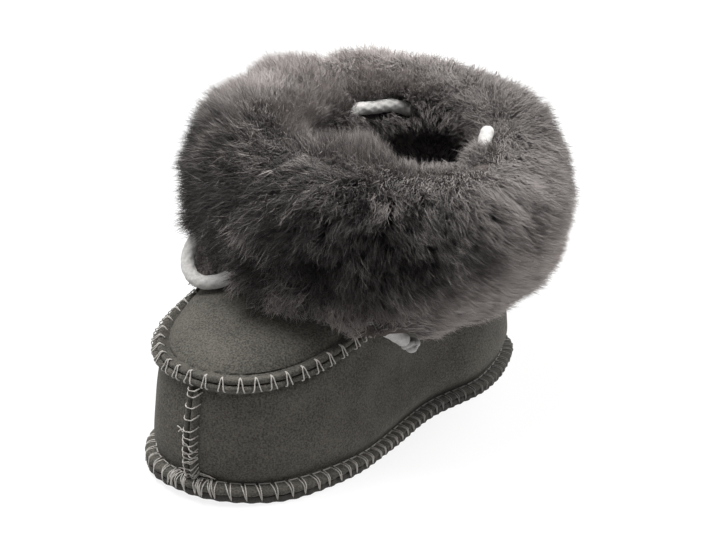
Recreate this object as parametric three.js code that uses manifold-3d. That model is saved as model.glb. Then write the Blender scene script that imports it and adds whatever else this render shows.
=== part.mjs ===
// Sheepskin baby bootie, left foot, with a turned-down fur cuff and a drawstring.
// Millimetres. X points to the outer (lateral) side, Y to the heel, Z up.
// The origin lies on the floor under the foot.
import * as THREE from "three";
import { mergeVertices } from "three/addons/utils/BufferGeometryUtils.js";
import Module from "manifold-3d";

const wasm = await Module();
wasm.setup();
const { lerp, smoothstep, degToRad } = THREE.MathUtils;

// Driving dimensions
const SOLE_LENGTH = 142; // sewn edge to sewn edge
const SOLE_THICKNESS = 2.2;
const SKIN = 2; // suede side of the sheepskin
const GAP = 0.3; // between pieces that meet
const SEWN_EDGE = 4; // how far the bottom seam stands out from the wall
const TOE_APEX_X = -4.5; // the toe leans to the inner side of the foot
const TOE_SPRING = 1.4;
const SPRING_LENGTH = 20;
const COLLAR_HEIGHT = 78;
const COLLAR_HALF_WIDTH = 27.5;
const COLLAR_FRONT = -20;
const COLLAR_BACK = 64;
const INSOLE_THICKNESS = 6;
const INSOLE_PLAY = 1.3; // round the insole
const CORD_DIAMETER = 4.2;
const CHANNEL = CORD_DIAMETER / 2 + 2 * GAP; // radius of the holes that the cord runs in
const EYELET_RUN = 2.5;

// Mesh counts
const COLUMNS = 60; // around the foot, from the toe over the lateral side
const VAMP_COLUMNS = 10; // on each side of the toe, up to the corner where the vamp's seam leaves the toe
const CORD_STEPS = 16;
const CORD_SIDES = 8;
const CUT_TOLERANCE = 0.03; // faces thinner than this are closed up after a cut
const FUR_TOLERANCE = 0.12;
const MERGE_DISTANCE = 1e-3; // points nearer than this are one point
const MITRE_LIMIT = 0.6; // least cosine at a corner of an offset wall

// Plan of the sole: distance from the toe and reach to each side of the centre line
const SOLE_STATIONS = [
  { fromToe: 4, medial: 19.5, lateral: 9 },
  { fromToe: 18, medial: 31, lateral: 21.6 },
  { fromToe: 42, medial: 32.5, lateral: 28 },
  { fromToe: 84, medial: 27.5, lateral: 25.6 },
  { fromToe: 108, medial: 29, lateral: 29 },
  { fromToe: 134, medial: 19, lateral: 20 },
];

// Rows of the upper from the sole to the collar, at the toe and at the heel.
// Travel is the share of the way from the sole's plan to the collar's plan, bulge is outward.
const FOOT_ROW = { toeTravel: 0, toeHeight: 4.5, heelTravel: 0, heelHeight: 4.5, bulge: 0 };
const WALL_ROWS = [
  FOOT_ROW,
  { toeTravel: 0, toeHeight: 10, heelTravel: 0, heelHeight: 12, bulge: 1.9 },
  { toeTravel: 0, toeHeight: 22, heelTravel: 0.1, heelHeight: 32, bulge: 1.5 },
  { toeTravel: 0.03, toeHeight: 35.6, heelTravel: 0.3, heelHeight: 53, bulge: 0.4 },
];
const TOP_ROWS = [
  { toeTravel: 0.08, toeHeight: 38.6, heelTravel: 0.4, heelHeight: 55.5, bulge: 0 },
  { toeTravel: 0.19, toeHeight: 42, heelTravel: 0.5, heelHeight: 58, bulge: 0 },
  { toeTravel: 0.43, toeHeight: 46.4, heelTravel: 0.6, heelHeight: 62, bulge: 0 },
  { toeTravel: 0.71, toeHeight: 51, heelTravel: 0.75, heelHeight: 66, bulge: 0 },
  { toeTravel: 0.9, toeHeight: 58, heelTravel: 0.9, heelHeight: 70, bulge: 0 },
  { toeTravel: 0.97, toeHeight: 67, heelTravel: 0.95, heelHeight: 74, bulge: 0 },
  { toeTravel: 1, toeHeight: COLLAR_HEIGHT, heelTravel: 1, heelHeight: COLLAR_HEIGHT, bulge: 0 },
];
const UPPER_ROWS = [...WALL_ROWS, ...TOP_ROWS];
const SEAM_ROW = WALL_ROWS.length; // counts the sewn edge as row 0
const FRONT_LENGTH = 90; // rows blend from their toe values to their heel values over this length

// Raised seams: each panel's edge is turned out as a lip
const LIP_THICKNESS = 2;
const LIP_HEIGHT = 2.3;
const LIP_ROOT = 1.2;
const LIP_TOP = 1.3; // width of the lip's rounded crown
const LIP_EXTRA_ROWS = 1; // how far the vamp's lips climb past the corner, in rows

// Fur cuff: pile outside the shaft and inside the collar
const PILE = { front: 25, lateral: 23.5, medial: 25, back: 15 };
const INNER_PILE = 6.5;
const FUR_LOW = { front: 51, back: 40, fade: 3 };
const FUR_CREST = 90;
const CREST_TILT = { by: 7, towards: new THREE.Vector2(-0.75, -0.66) }; // highest over the inner front
const CREST_DIP = { by: 7, towards: new THREE.Vector2(0.95, 0.31) }; // sags on the lateral side
// Section of the cuff: reach is the share of the pile, rise the share of the height
const FUR_SECTION = [
  { side: "outer", reach: 0, rise: 0 },
  { side: "outer", reach: 0.5, rise: 0 },
  { side: "outer", reach: 0.86, rise: 0.12 },
  { side: "outer", reach: 1, rise: 0.36 },
  { side: "outer", reach: 0.99, rise: 0.62 },
  { side: "outer", reach: 0.88, rise: 0.83 },
  { side: "outer", reach: 0.6, rise: 0.96 },
  { side: "outer", reach: 0.2, rise: 1 },
  { side: "inner", reach: 0.5, rise: 0.96 },
  { side: "inner", reach: 1, rise: 0.8 },
  { side: "inner", reach: 0.9, rise: 0.62 },
  { side: "inner", reach: 0, rise: 0.5 },
  { side: "outer", reach: 0, rise: 0.46 },
  { side: "outer", reach: 0, rise: 0.2 },
];
// Rows of locks on the cuff: where they root and how many go round
const LOCK_ROWS = [
  { reach: 0.8, rise: 0.17, count: 13 },
  { reach: 0.98, rise: 0.42, count: 14 },
  { reach: 0.97, rise: 0.66, count: 14 },
  { reach: 0.74, rise: 0.89, count: 13 },
];
// A lock is a flat spindle that lies along the fur, widest near its root
const LOCK = { width: 14, depth: 8, length: 19, sides: 4, widest: 0.4, lift: 0.22, sway: 0.5 };
const LOCK_SWAY = { perLock: 5, perRow: 2 }; // radians from one lock or row to the next

// Drawstring: routes chosen point by point, from eyelet to eyelet or to the free end
const route = (points) => points.map((p) => new THREE.Vector3(...p));
const LOOP_ROUTE = route([
  [-8, -20.6, 62.6], [-8.6, -25.4, 61.6], [-10, -29.5, 59], [-12.1, -32.8, 55.8],
  [-15.3, -35.3, 52.9], [-19.5, -36.9, 50.6], [-24.3, -37.4, 49.4], [-29.1, -36.1, 49.9],
  [-32.6, -33.4, 52.1], [-33.9, -29.8, 55.4], [-32.7, -26.4, 58.7], [-29.3, -23.9, 61.2],
  [-24.8, -22.4, 62.6], [-20.2, -20.9, 63.2], [-16.6, -18.4, 63.2], [-14.4, -14.4, 63],
]);
const END_ROUTE = route([
  [8, -19, 62.5], [8.8, -23.6, 61.8], [10.8, -27.8, 59.6], [14.4, -30.6, 56.6], [19, -30.8, 53.6],
  [23.4, -28.8, 50.6], [27, -25, 47.2], [29.4, -20.6, 43.8], [30.8, -16.4, 40.4], [31.4, -12.8, 37.4],
]);
const END_KNOT = { diameter: 5.8, at: new THREE.Vector3(31.7, -11, 35.9) };
// Bars of the cord that show inside the collar, out through the skin at both ends
const BARS = [
  {
    name: "drawstring_bar_medial",
    route: route([
      [-27.6, 25, 71], [-23, 27.4, 75], [-20, 32, 81], [-17.4, 38, 82],
      [-14.6, 44.4, 80.8], [-12.4, 50, 76.6], [-12, 54.6, 73], [-14.4, 59.4, 70.6],
    ]),
  },
  {
    name: "drawstring_bar_lateral",
    route: route([
      [27, 34.6, 71], [23, 37.6, 74.4], [20.4, 41.8, 78.2], [17.6, 47.6, 79.2],
      [14.8, 52.6, 76.4], [13.6, 56.2, 72], [14.8, 59.4, 70.6],
    ]),
  },
];

const SUEDE = new THREE.MeshStandardMaterial({ color: 0x56554f, roughness: 0.95, metalness: 0 });
const SOLE_SUEDE = new THREE.MeshStandardMaterial({ color: 0x4a4945, roughness: 0.95, metalness: 0 });
const FUR = new THREE.MeshStandardMaterial({ color: 0x5f5b5b, roughness: 1, metalness: 0 });
const WOOL = new THREE.MeshStandardMaterial({ color: 0x544f4f, roughness: 1, metalness: 0 });
const CORD = new THREE.MeshStandardMaterial({ color: 0xd8d6d2, roughness: 0.9, metalness: 0 });

// Closed meshes to solids and back, for joins and cuts
function toSolid(geometry) {
  const bare = new THREE.BufferGeometry().setAttribute("position", geometry.getAttribute("position"));
  bare.setIndex(geometry.index);
  const merged = mergeVertices(bare, MERGE_DISTANCE);
  const mesh = new wasm.Mesh({
    numProp: 3,
    vertProperties: new Float32Array(merged.attributes.position.array),
    triVerts: new Uint32Array(merged.index.array),
  });
  return new wasm.Manifold(mesh);
}

function toGeometry(solid) {
  const mesh = solid.getMesh();
  const geometry = new THREE.BufferGeometry();
  geometry.setAttribute("position", new THREE.BufferAttribute(new Float32Array(mesh.vertProperties), 3));
  geometry.setIndex(new THREE.BufferAttribute(new Uint32Array(mesh.triVerts), 1));
  return geometry;
}

// The main body of a cut solid, without the crumbs and needle faces that a cut leaves
function mainBody(solid, tolerance = CUT_TOLERANCE) {
  const bodies = solid.asOriginal().simplify(tolerance).decompose();
  return bodies.sort((a, b) => b.volume() - a.volume())[0];
}

function piece(name, geometry, material) {
  const mesh = new THREE.Mesh(geometry, material);
  mesh.name = name;
  return mesh;
}

// Plans: the sole's sewn edge and the collar, sampled at the same columns
function plan(x, y) {
  return new THREE.Vector3(x, y, 0);
}

const toeY = -SOLE_LENGTH / 2;
const soleCurve = new THREE.CatmullRomCurve3(
  [
    plan(TOE_APEX_X, toeY),
    ...SOLE_STATIONS.map((s) => plan(s.lateral, toeY + s.fromToe)),
    plan(0, toeY + SOLE_LENGTH),
    ...SOLE_STATIONS.map((s) => plan(-s.medial, toeY + s.fromToe)).reverse(),
  ],
  true,
  "centripetal",
);
const collarCurve = new THREE.EllipseCurve(
  0,
  (COLLAR_FRONT + COLLAR_BACK) / 2,
  COLLAR_HALF_WIDTH,
  (COLLAR_BACK - COLLAR_FRONT) / 2,
  degToRad(-90),
  degToRad(270),
);
const columnIndex = Array.from({ length: COLUMNS }, (_, i) => i);
const soleEdge = columnIndex.map((i) => soleCurve.getPointAt(i / COLUMNS));
const collar = columnIndex.map((i) => {
  const p = collarCurve.getPointAt(i / COLUMNS);
  return plan(p.x, p.y);
});

// Outward plan normal of a closed ring at each of its points
function ringNormals(ring) {
  return ring.map((_, i) => {
    const before = ring[(i + ring.length - 1) % ring.length];
    const after = ring[(i + 1) % ring.length];
    return new THREE.Vector3(after.y - before.y, before.x - after.x, 0).normalize();
  });
}

const soleNormals = ringNormals(soleEdge);
const collarNormals = ringNormals(collar);
const foot = soleEdge.map((p, i) => p.clone().addScaledVector(soleNormals[i], -SEWN_EDGE));
const frontness = soleEdge.map((p) => 1 - smoothstep(p.y - toeY, 0, FRONT_LENGTH));

function toeSpring(y) {
  const ahead = Math.max(0, toeY + SPRING_LENGTH - y) / SPRING_LENGTH;
  return TOE_SPRING * ahead * ahead;
}

// One ring of the upper's outer surface
function upperRing(row) {
  return columnIndex.map((i) => {
    const travel = lerp(row.heelTravel, row.toeTravel, frontness[i]);
    const height = lerp(row.heelHeight, row.toeHeight, frontness[i]);
    const point = foot[i].clone().lerp(collar[i], travel).addScaledVector(soleNormals[i], row.bulge);
    const lift = toeSpring(soleEdge[i].y) * (1 - height / COLLAR_HEIGHT);
    return point.setZ(height + lift);
  });
}

const edgeRing = soleEdge.map((p) => p.clone().setZ(FOOT_ROW.toeHeight + toeSpring(p.y)));
const upperRings = [edgeRing, ...UPPER_ROWS.map(upperRing)];

// Offsets a grid of rings along its own normals, mitred at corners so that the wall keeps its thickness
function offsetGrid(rings, distance) {
  const last = rings.length - 1;
  const faceNormal = (k, i) => {
    const next = (i + 1) % COLUMNS;
    const across = rings[k + 1][next].clone().sub(rings[k][i]);
    const along = rings[k][next].clone().sub(rings[k + 1][i]);
    return along.cross(across).normalize();
  };
  return rings.map((ring, k) =>
    ring.map((p, i) => {
      const before = (i + COLUMNS - 1) % COLUMNS;
      const faces = [];
      if (k < last) faces.push(faceNormal(k, i), faceNormal(k, before));
      if (k > 0) faces.push(faceNormal(k - 1, i), faceNormal(k - 1, before));
      const normal = faces.reduce((sum, n) => sum.add(n), new THREE.Vector3()).normalize();
      const mitre = Math.max(MITRE_LIMIT, ...faces.slice(0, 1).map((n) => n.dot(normal)));
      return p.clone().addScaledVector(normal, distance / mitre);
    }),
  );
}

// Closed shell between two grids over the cells that keep() names. Every open edge gets a rim.
function shell(outer, inner, keep) {
  const rows = outer.length;
  const vertices = [];
  for (const grid of [outer, inner])
    for (const ring of grid) for (const p of ring) vertices.push(p.x, p.y, p.z);
  const at = (side, k, i) => (side * rows + k) * COLUMNS + ((i + COLUMNS) % COLUMNS);
  const kept = (k, i) => k >= 0 && k < rows - 1 && keep(k, (i + COLUMNS) % COLUMNS);
  const triangles = [];
  const quad = (a, b, c, d) => triangles.push(a, b, c, a, c, d);
  for (let k = 0; k < rows - 1; k++)
    for (let i = 0; i < COLUMNS; i++) {
      if (!kept(k, i)) continue;
      const cell = [[k, i], [k, i + 1], [k + 1, i + 1], [k + 1, i]];
      const corners = (side) => cell.map(([row, column]) => at(side, row, column));
      const [a, b, c, d] = corners(0);
      const [e, f, g, h] = corners(1);
      quad(a, b, c, d);
      quad(e, h, g, f);
      if (!kept(k - 1, i)) quad(b, a, e, f);
      if (!kept(k + 1, i)) quad(c, g, h, d);
      if (!kept(k, i - 1)) quad(d, h, e, a);
      if (!kept(k, i + 1)) quad(c, b, f, g);
    }
  const geometry = new THREE.BufferGeometry();
  geometry.setAttribute("position", new THREE.BufferAttribute(new Float32Array(vertices), 3));
  geometry.setIndex(triangles);
  return toSolid(geometry);
}

const innerRings = offsetGrid(upperRings, -SKIN);
const isVampColumn = (i) => i < VAMP_COLUMNS || i >= COLUMNS - VAMP_COLUMNS;
const isVampCell = (k, i) => k >= SEAM_ROW && isVampColumn(i);

// Sweeps a flat outline along points, each with its own across and up directions
function sweep(outline, frames) {
  const count = outline.length;
  const vertices = [];
  for (const f of frames)
    for (const [across, up] of outline) {
      const p = f.at.clone().addScaledVector(f.across, across).addScaledVector(f.up, up);
      vertices.push(p.x, p.y, p.z);
    }
  const triangles = [];
  for (let s = 0; s < frames.length - 1; s++)
    for (let c = 0; c < count; c++) {
      const a = s * count + c;
      const b = s * count + ((c + 1) % count);
      triangles.push(a, b, b + count, a, b + count, a + count);
    }
  const caps = THREE.ShapeUtils.triangulateShape(outline.map(([x, y]) => new THREE.Vector2(x, y)), []);
  const end = (frames.length - 1) * count;
  for (const [a, b, c] of caps) triangles.push(c, b, a, a + end, b + end, c + end);
  const geometry = new THREE.BufferGeometry();
  geometry.setAttribute("position", new THREE.BufferAttribute(new Float32Array(vertices), 3));
  geometry.setIndex(triangles);
  return toSolid(geometry);
}

// Frames along a seam: up is the outward normal there, across points to the seam's left
function seamFrames(points, normals) {
  return points.map((at, s) => {
    const before = points[Math.max(0, s - 1)];
    const after = points[Math.min(points.length - 1, s + 1)];
    const along = after.clone().sub(before).normalize();
    const across = normals[s].clone().cross(along).normalize();
    return { at, across, up: along.clone().cross(across).normalize() };
  });
}

// The same frames with both ends moved on along the seam
function lengthened(frames, by) {
  const last = frames.length - 1;
  return frames.map((f, s) => {
    const along = f.across.clone().cross(f.up);
    const step = s === 0 ? -by : s === last ? by : 0;
    return { ...f, at: f.at.clone().addScaledVector(along, step) };
  });
}

function outwardAt(k, i) {
  return upperRings[k][i].clone().sub(innerRings[k][i]).normalize();
}

// One lip: sign 1 is the left panel's edge, -1 the right panel's edge
function lipOutline(sign, margin = 0) {
  const start = GAP / 2 - margin;
  const end = GAP / 2 + LIP_THICKNESS + margin;
  const top = LIP_HEIGHT + margin;
  const outline = [
    [start, -LIP_ROOT],
    [end, -LIP_ROOT],
    [end, top - LIP_TOP / 2],
    [start + LIP_TOP, top],
    [start, top],
  ];
  return sign > 0 ? outline : outline.map(([x, y]) => [-x, y]).reverse();
}

// The vamp's seam: round the toe at the seam row, then a little way up each side
const seamColumns = Array.from({ length: 2 * VAMP_COLUMNS + 1 }, (_, n) => n - VAMP_COLUMNS);
const wrap = (i) => (i + COLUMNS) % COLUMNS;
const climb = Array.from({ length: LIP_EXTRA_ROWS }, (_, n) => n + 1);
const seamPath = [
  ...[...climb].reverse().map((n) => [SEAM_ROW + n, wrap(-VAMP_COLUMNS)]),
  ...seamColumns.map((i) => [SEAM_ROW, wrap(i)]),
  ...climb.map((n) => [SEAM_ROW + n, VAMP_COLUMNS]),
];
const vampSeam = seamFrames(
  seamPath.map(([k, i]) => upperRings[k][i]),
  seamPath.map(([k, i]) => outwardAt(k, i)),
);

// Moves one panel's edge back from the seam: sign 1 is the vamp, -1 the side panels
function pullBack(rings, sign) {
  const copy = rings.map((ring) => ring.map((p) => p.clone()));
  const move = (k, i, towardsRow, towardsColumn, by) => {
    const step = rings[towardsRow][wrap(towardsColumn)].clone().sub(rings[k][wrap(i)]);
    copy[k][wrap(i)].add(step.setLength(by));
  };
  for (const i of seamColumns) move(SEAM_ROW, i, SEAM_ROW + sign, i, GAP / 2);
  for (let k = SEAM_ROW; k < rings.length; k++)
    for (const side of [1, -1]) move(k, side * VAMP_COLUMNS, k, side * (VAMP_COLUMNS - sign), GAP);
  return copy;
}

const toeSeam = seamFrames(
  Array.from({ length: SEAM_ROW }, (_, n) => upperRings[n + 1][0]),
  Array.from({ length: SEAM_ROW }, (_, n) => soleNormals[0].clone().setZ(0)),
);
// Its top end stays clear of the vamp
toeSeam[SEAM_ROW - 1].at = upperRings[SEAM_ROW][0].clone().add(new THREE.Vector3(0, 0, -GAP));
const TOE_SEAM_OUTLINE = [
  [-LIP_THICKNESS, -LIP_ROOT],
  [LIP_THICKNESS, -LIP_ROOT],
  [LIP_THICKNESS, LIP_HEIGHT - LIP_TOP],
  [LIP_TOP / 2, LIP_HEIGHT - LIP_TOP / 3],
  [0, LIP_HEIGHT - LIP_TOP],
  [-LIP_TOP / 2, LIP_HEIGHT - LIP_TOP / 3],
  [-LIP_THICKNESS, LIP_HEIGHT - LIP_TOP],
];

// Cords, and the channels that they run in through skin and fur
function cordTube(points, radius) {
  const circle = new THREE.Shape().absarc(0, 0, radius, 0, 2 * Math.PI);
  const extrudePath = new THREE.CatmullRomCurve3(points);
  const settings = { steps: CORD_STEPS, extrudePath, curveSegments: CORD_SIDES / 2, bevelEnabled: false };
  return toSolid(new THREE.ExtrudeGeometry(circle, settings));
}

function endKnot(radius) {
  return toSolid(new THREE.SphereGeometry(radius, CORD_SIDES, CORD_SIDES).translate(...END_KNOT.at));
}

// A cord's route run on straight past its first and last point, so that its eyelets go right through the skin
function runOn(points) {
  const past = (end, before) => end.clone().add(end.clone().sub(before).setLength(EYELET_RUN));
  const last = points.length - 1;
  return [past(points[0], points[1]), ...points, past(points[last], points[last - 1])];
}

const channels = [
  cordTube(runOn(LOOP_ROUTE), CHANNEL),
  cordTube(runOn(END_ROUTE), CHANNEL),
  endKnot(END_KNOT.diameter / 2 + CHANNEL - CORD_DIAMETER / 2),
  ...BARS.map((bar) => cordTube(runOn(bar.route), CHANNEL)),
];
const cutChannels = (solid) => channels.reduce((left, channel) => left.subtract(channel), solid);

// Skin pieces: each is cut clear of the other's lip where the seam turns
const vampLip = sweep(lipOutline(1), vampSeam);
const upperLip = sweep(lipOutline(-1), vampSeam);
const vampLipRoom = sweep(lipOutline(1, GAP), lengthened(vampSeam, GAP));
const upperLipRoom = sweep(lipOutline(-1, GAP), lengthened(vampSeam, GAP));

function makeUpper() {
  const walls = shell(pullBack(upperRings, -1), pullBack(innerRings, -1), (k, i) => !isVampCell(k, i));
  const joined = walls.add(upperLip).add(sweep(TOE_SEAM_OUTLINE, toeSeam));
  return mainBody(cutChannels(joined.subtract(vampLipRoom)));
}

function makeVamp() {
  const panel = shell(pullBack(upperRings, 1), pullBack(innerRings, 1), isVampCell);
  return mainBody(cutChannels(panel.add(vampLip).subtract(upperLipRoom)));
}

// Flat piece between two heights of one outline, closed by strips across the foot
function slab(ring, low, high) {
  const bottom = ring.map((p) => p.clone().setZ(low(p)));
  const top = ring.map((p) => p.clone().setZ(high(p)));
  const vertices = [...bottom, ...top].flatMap((p) => [p.x, p.y, p.z]);
  const triangles = [];
  for (let i = 0; i < ring.length; i++) {
    const next = (i + 1) % ring.length;
    triangles.push(i, next, next + ring.length, i, next + ring.length, i + ring.length);
  }
  const cap = (a, b, c) => triangles.push(c, b, a, a + ring.length, b + ring.length, c + ring.length);
  for (let i = 0; i < ring.length / 2; i++) {
    const across = (ring.length - i) % ring.length;
    if (across !== i) cap(i, ring.length - i - 1, across);
    if (ring.length - i - 1 !== i + 1) cap(i, i + 1, ring.length - i - 1);
  }
  const geometry = new THREE.BufferGeometry();
  geometry.setAttribute("position", new THREE.BufferAttribute(new Float32Array(vertices), 3));
  geometry.setIndex(triangles);
  return toSolid(geometry);
}

function makeSole() {
  return slab(soleEdge, (p) => toeSpring(p.y), (p) => SOLE_THICKNESS + toeSpring(p.y));
}

function makeInsole() {
  const outline = foot.map((p, i) => p.clone().addScaledVector(soleNormals[i], -SKIN - INSOLE_PLAY));
  const base = (p) => SOLE_THICKNESS + GAP + toeSpring(p.y);
  return slab(outline, base, (p) => base(p) + INSOLE_THICKNESS);
}

// Fur cuff
function wallAt(column, height) {
  const k = upperRings.findIndex((ring) => ring[column].z >= height);
  if (k < 0) return upperRings[upperRings.length - 1][column].clone().setZ(height);
  if (k === 0) return upperRings[0][column].clone();
  const below = upperRings[k - 1][column];
  const above = upperRings[k][column];
  return below.clone().lerp(above, (height - below.z) / (above.z - below.z));
}

function pileAt(column) {
  const n = collarNormals[column];
  const side = n.x > 0 ? PILE.lateral : PILE.medial;
  return side * n.x * n.x + (n.y < 0 ? PILE.front : PILE.back) * n.y * n.y;
}

function furPoint(column, { side, reach, rise }) {
  const n = collarNormals[column];
  const dip = CREST_DIP.by * Math.max(0, CREST_DIP.towards.dot(n)) ** 4;
  const crest = FUR_CREST + CREST_TILT.by * CREST_TILT.towards.dot(n) - dip;
  const low = lerp(FUR_LOW.back, FUR_LOW.front, frontness[column] ** FUR_LOW.fade);
  const height = lerp(low, crest, rise);
  const wall = wallAt(column, height);
  if (side === "inner") return wall.addScaledVector(n, -SKIN - INNER_PILE * reach);
  const envelope = collar[column].clone().addScaledVector(n, pileAt(column)).setZ(height);
  return wall.lerp(envelope, reach);
}

function furRing() {
  const rows = FUR_SECTION.length;
  const vertices = columnIndex.flatMap((i) => FUR_SECTION.flatMap((row) => furPoint(i, row).toArray()));
  const triangles = [];
  for (let i = 0; i < COLUMNS; i++)
    for (let k = 0; k < rows; k++) {
      const a = i * rows + k;
      const b = i * rows + ((k + 1) % rows);
      const c = ((i + 1) % COLUMNS) * rows + ((k + 1) % rows);
      const d = ((i + 1) % COLUMNS) * rows + k;
      triangles.push(a, d, c, a, c, b);
    }
  const geometry = new THREE.BufferGeometry();
  geometry.setAttribute("position", new THREE.BufferAttribute(new Float32Array(vertices), 3));
  geometry.setIndex(triangles);
  return toSolid(geometry);
}

// One lock, running from the crest to the hem with its tip lifted
function lock(row, n) {
  const stagger = (LOCK_ROWS.indexOf(row) % 2) / 2;
  const column = Math.round(((n + stagger) / row.count) * COLUMNS) % COLUMNS;
  const root = furPoint(column, { side: "outer", ...row });
  const above = furPoint(column, { side: "outer", reach: row.reach - 0.1, rise: row.rise + 0.1 });
  const sway = LOCK.sway * Math.sin(LOCK_SWAY.perLock * n + LOCK_SWAY.perRow * row.count);
  const out = collarNormals[column];
  const across = new THREE.Vector3(-out.y, out.x, 0);
  const flow = root.clone().sub(above).normalize().addScaledVector(across, sway).normalize();
  const lean = flow.addScaledVector(out, LOCK.lift).normalize();
  const facing = lean.clone().cross(across).normalize();
  const sideways = lean.clone().cross(facing).normalize();
  const profile = [[0, 0], [0.5, LOCK.widest], [0, 1]].map(([x, y]) => new THREE.Vector2(x, y - LOCK.widest));
  const tuft = new THREE.LatheGeometry(profile, LOCK.sides).scale(LOCK.width, LOCK.length, LOCK.depth);
  tuft.applyMatrix4(new THREE.Matrix4().makeBasis(sideways, lean, sideways.clone().cross(lean)));
  return toSolid(tuft.translate(root.x, root.y, root.z));
}

function makeCuff() {
  const locks = LOCK_ROWS.flatMap((row) => Array.from({ length: row.count }, (_, n) => lock(row, n)));
  const fur = locks.reduce((solid, tuft) => solid.add(tuft), furRing());
  const room = (distance) => {
    const rings = offsetGrid(upperRings, distance);
    const top = rings.pop();
    return [...rings, top.map((p) => p.clone().setZ(p.z + GAP))];
  };
  const skinRoom = shell(room(GAP), room(-SKIN - GAP), () => true);
  const hollow = fur.subtract(skinRoom).subtract(vampLipRoom).subtract(upperLipRoom);
  return mainBody(cutChannels(hollow), FUR_TOLERANCE);
}

const cord = (points) => cordTube(points, CORD_DIAMETER / 2);
const knottedEnd = cord(END_ROUTE).add(endKnot(END_KNOT.diameter / 2));
const bootie = new THREE.Group();
bootie.add(
  piece("sole", toGeometry(makeSole()), SOLE_SUEDE),
  piece("upper", toGeometry(makeUpper()), SUEDE),
  piece("vamp", toGeometry(makeVamp()), SUEDE),
  piece("insole", toGeometry(makeInsole()), WOOL),
  piece("fur_cuff", toGeometry(makeCuff()), FUR),
  piece("drawstring_loop", toGeometry(cord(LOOP_ROUTE)), CORD),
  piece("drawstring_end", toGeometry(knottedEnd), CORD),
  ...BARS.map((bar) => piece(bar.name, toGeometry(cord(bar.route)), CORD)),
);

export default bootie;
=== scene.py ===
"""Dresses the sheepskin bootie: suede panels, hand-sewn seams, wool lining, fur cuff and drawstring.

Sizes in the classes are millimetres in the bootie's own frame: X to the outer side of the left foot,
Y to the heel, Z up. They become metres when a mesh is made. Round the foot, a place is given as a turn
from 0 at the toe over the outer side to 1, and up the skin as a row from 0 at the sole to 10 at the collar.
"""
from __future__ import annotations

import logging
import math
from dataclasses import dataclass, field
from enum import Enum
from typing import Callable, Sequence

import bpy
import numpy as np
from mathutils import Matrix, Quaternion, Vector
from mathutils.kdtree import KDTree

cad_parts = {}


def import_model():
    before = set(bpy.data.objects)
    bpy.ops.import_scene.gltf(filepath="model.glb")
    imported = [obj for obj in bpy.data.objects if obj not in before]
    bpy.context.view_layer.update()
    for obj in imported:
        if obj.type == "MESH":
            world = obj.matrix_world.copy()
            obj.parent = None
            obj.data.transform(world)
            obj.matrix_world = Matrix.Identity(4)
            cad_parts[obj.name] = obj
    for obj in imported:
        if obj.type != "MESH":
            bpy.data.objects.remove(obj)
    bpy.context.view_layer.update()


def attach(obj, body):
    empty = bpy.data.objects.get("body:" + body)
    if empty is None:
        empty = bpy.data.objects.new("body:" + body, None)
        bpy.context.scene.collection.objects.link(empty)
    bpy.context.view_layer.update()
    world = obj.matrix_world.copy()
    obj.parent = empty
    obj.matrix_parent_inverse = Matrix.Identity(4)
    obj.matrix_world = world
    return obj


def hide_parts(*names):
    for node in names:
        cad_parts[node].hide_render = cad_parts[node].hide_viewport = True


LOG = logging.getLogger("bootie")
MM = 0.001
BODY = "root"
FULL_TURN = 2 * math.pi
Array = np.ndarray
Piece = bpy.types.Object
Tree = bpy.types.NodeTree
Place = Callable[[Array, Array], Array]


# Shared maths
def smooth(x: Array, low: float, high: float) -> Array:
    """Soft step of x from 0 at low to 1 at high."""
    share = np.clip((x - low) / (high - low), 0, 1)
    return share * share * (3 - 2 * share)


def unit(vectors: Array) -> Array:
    """The vectors at length 1."""
    return vectors / np.maximum(np.linalg.norm(vectors, axis=-1, keepdims=True), 1e-9)


def blend(a: Array, b: Array, share: Array) -> Array:
    """Goes from a to b by share, which has one number for each vector."""
    return a + (b - a) * np.asarray(share)[..., None]


def through(points: Sequence[Sequence[float]], closed: bool = False, steps: int = 24) -> Array:
    """A smooth curve through a few points.

    Args:
        points: the points that it passes, in order.
        closed: whether it comes back to the first one.
        steps: how many points each stretch gets.

    Returns:
        The points of the curve, one row each.
    """
    given = np.asarray(points, float)
    ends = (given[-1:], given[:2]) if closed else (2 * given[:1] - given[1:2], 2 * given[-1:] - given[-2:-1])
    padded = np.vstack([ends[0], given, ends[1]])
    p0, p1, p2, p3 = (padded[i : len(padded) - 3 + i] for i in range(4))
    gaps = (p1 - p0, p2 - p1, p3 - p2)
    d0, d1, d2 = (np.linalg.norm(gap, axis=1, keepdims=True) ** 0.5 for gap in gaps)
    leave = ((p1 - p0) / d0 - (p2 - p0) / (d0 + d1) + (p2 - p1) / d1) * d1
    arrive = ((p2 - p1) / d1 - (p3 - p1) / (d1 + d2) + (p3 - p2) / d2) * d1
    s = np.linspace(0, 1, steps, endpoint=False)[:, None, None]
    bend = 3 * (p2 - p1) - 2 * leave - arrive
    twist = 2 * (p1 - p2) + leave + arrive
    curve = p1 + s * leave + s**2 * bend + s**3 * twist
    curve = curve.transpose(1, 0, 2).reshape(-1, given.shape[1])
    return curve if closed else np.vstack([curve, given[-1:]])


def paces(line: Array) -> Array:
    """The distance from each point of a line to the next."""
    return np.linalg.norm(np.diff(line, axis=0), axis=1)


def run_along(line: Array) -> Array:
    """The distance from the start of a line to each of its points."""
    return np.r_[0, np.cumsum(paces(line))]


def evenly(curve: Array, count: int) -> Array:
    """The same open curve with count points at equal distances."""
    run = run_along(curve)
    at = np.linspace(0, run[-1], count)
    return np.stack([np.interp(at, run, column) for column in curve.T], -1)


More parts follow.
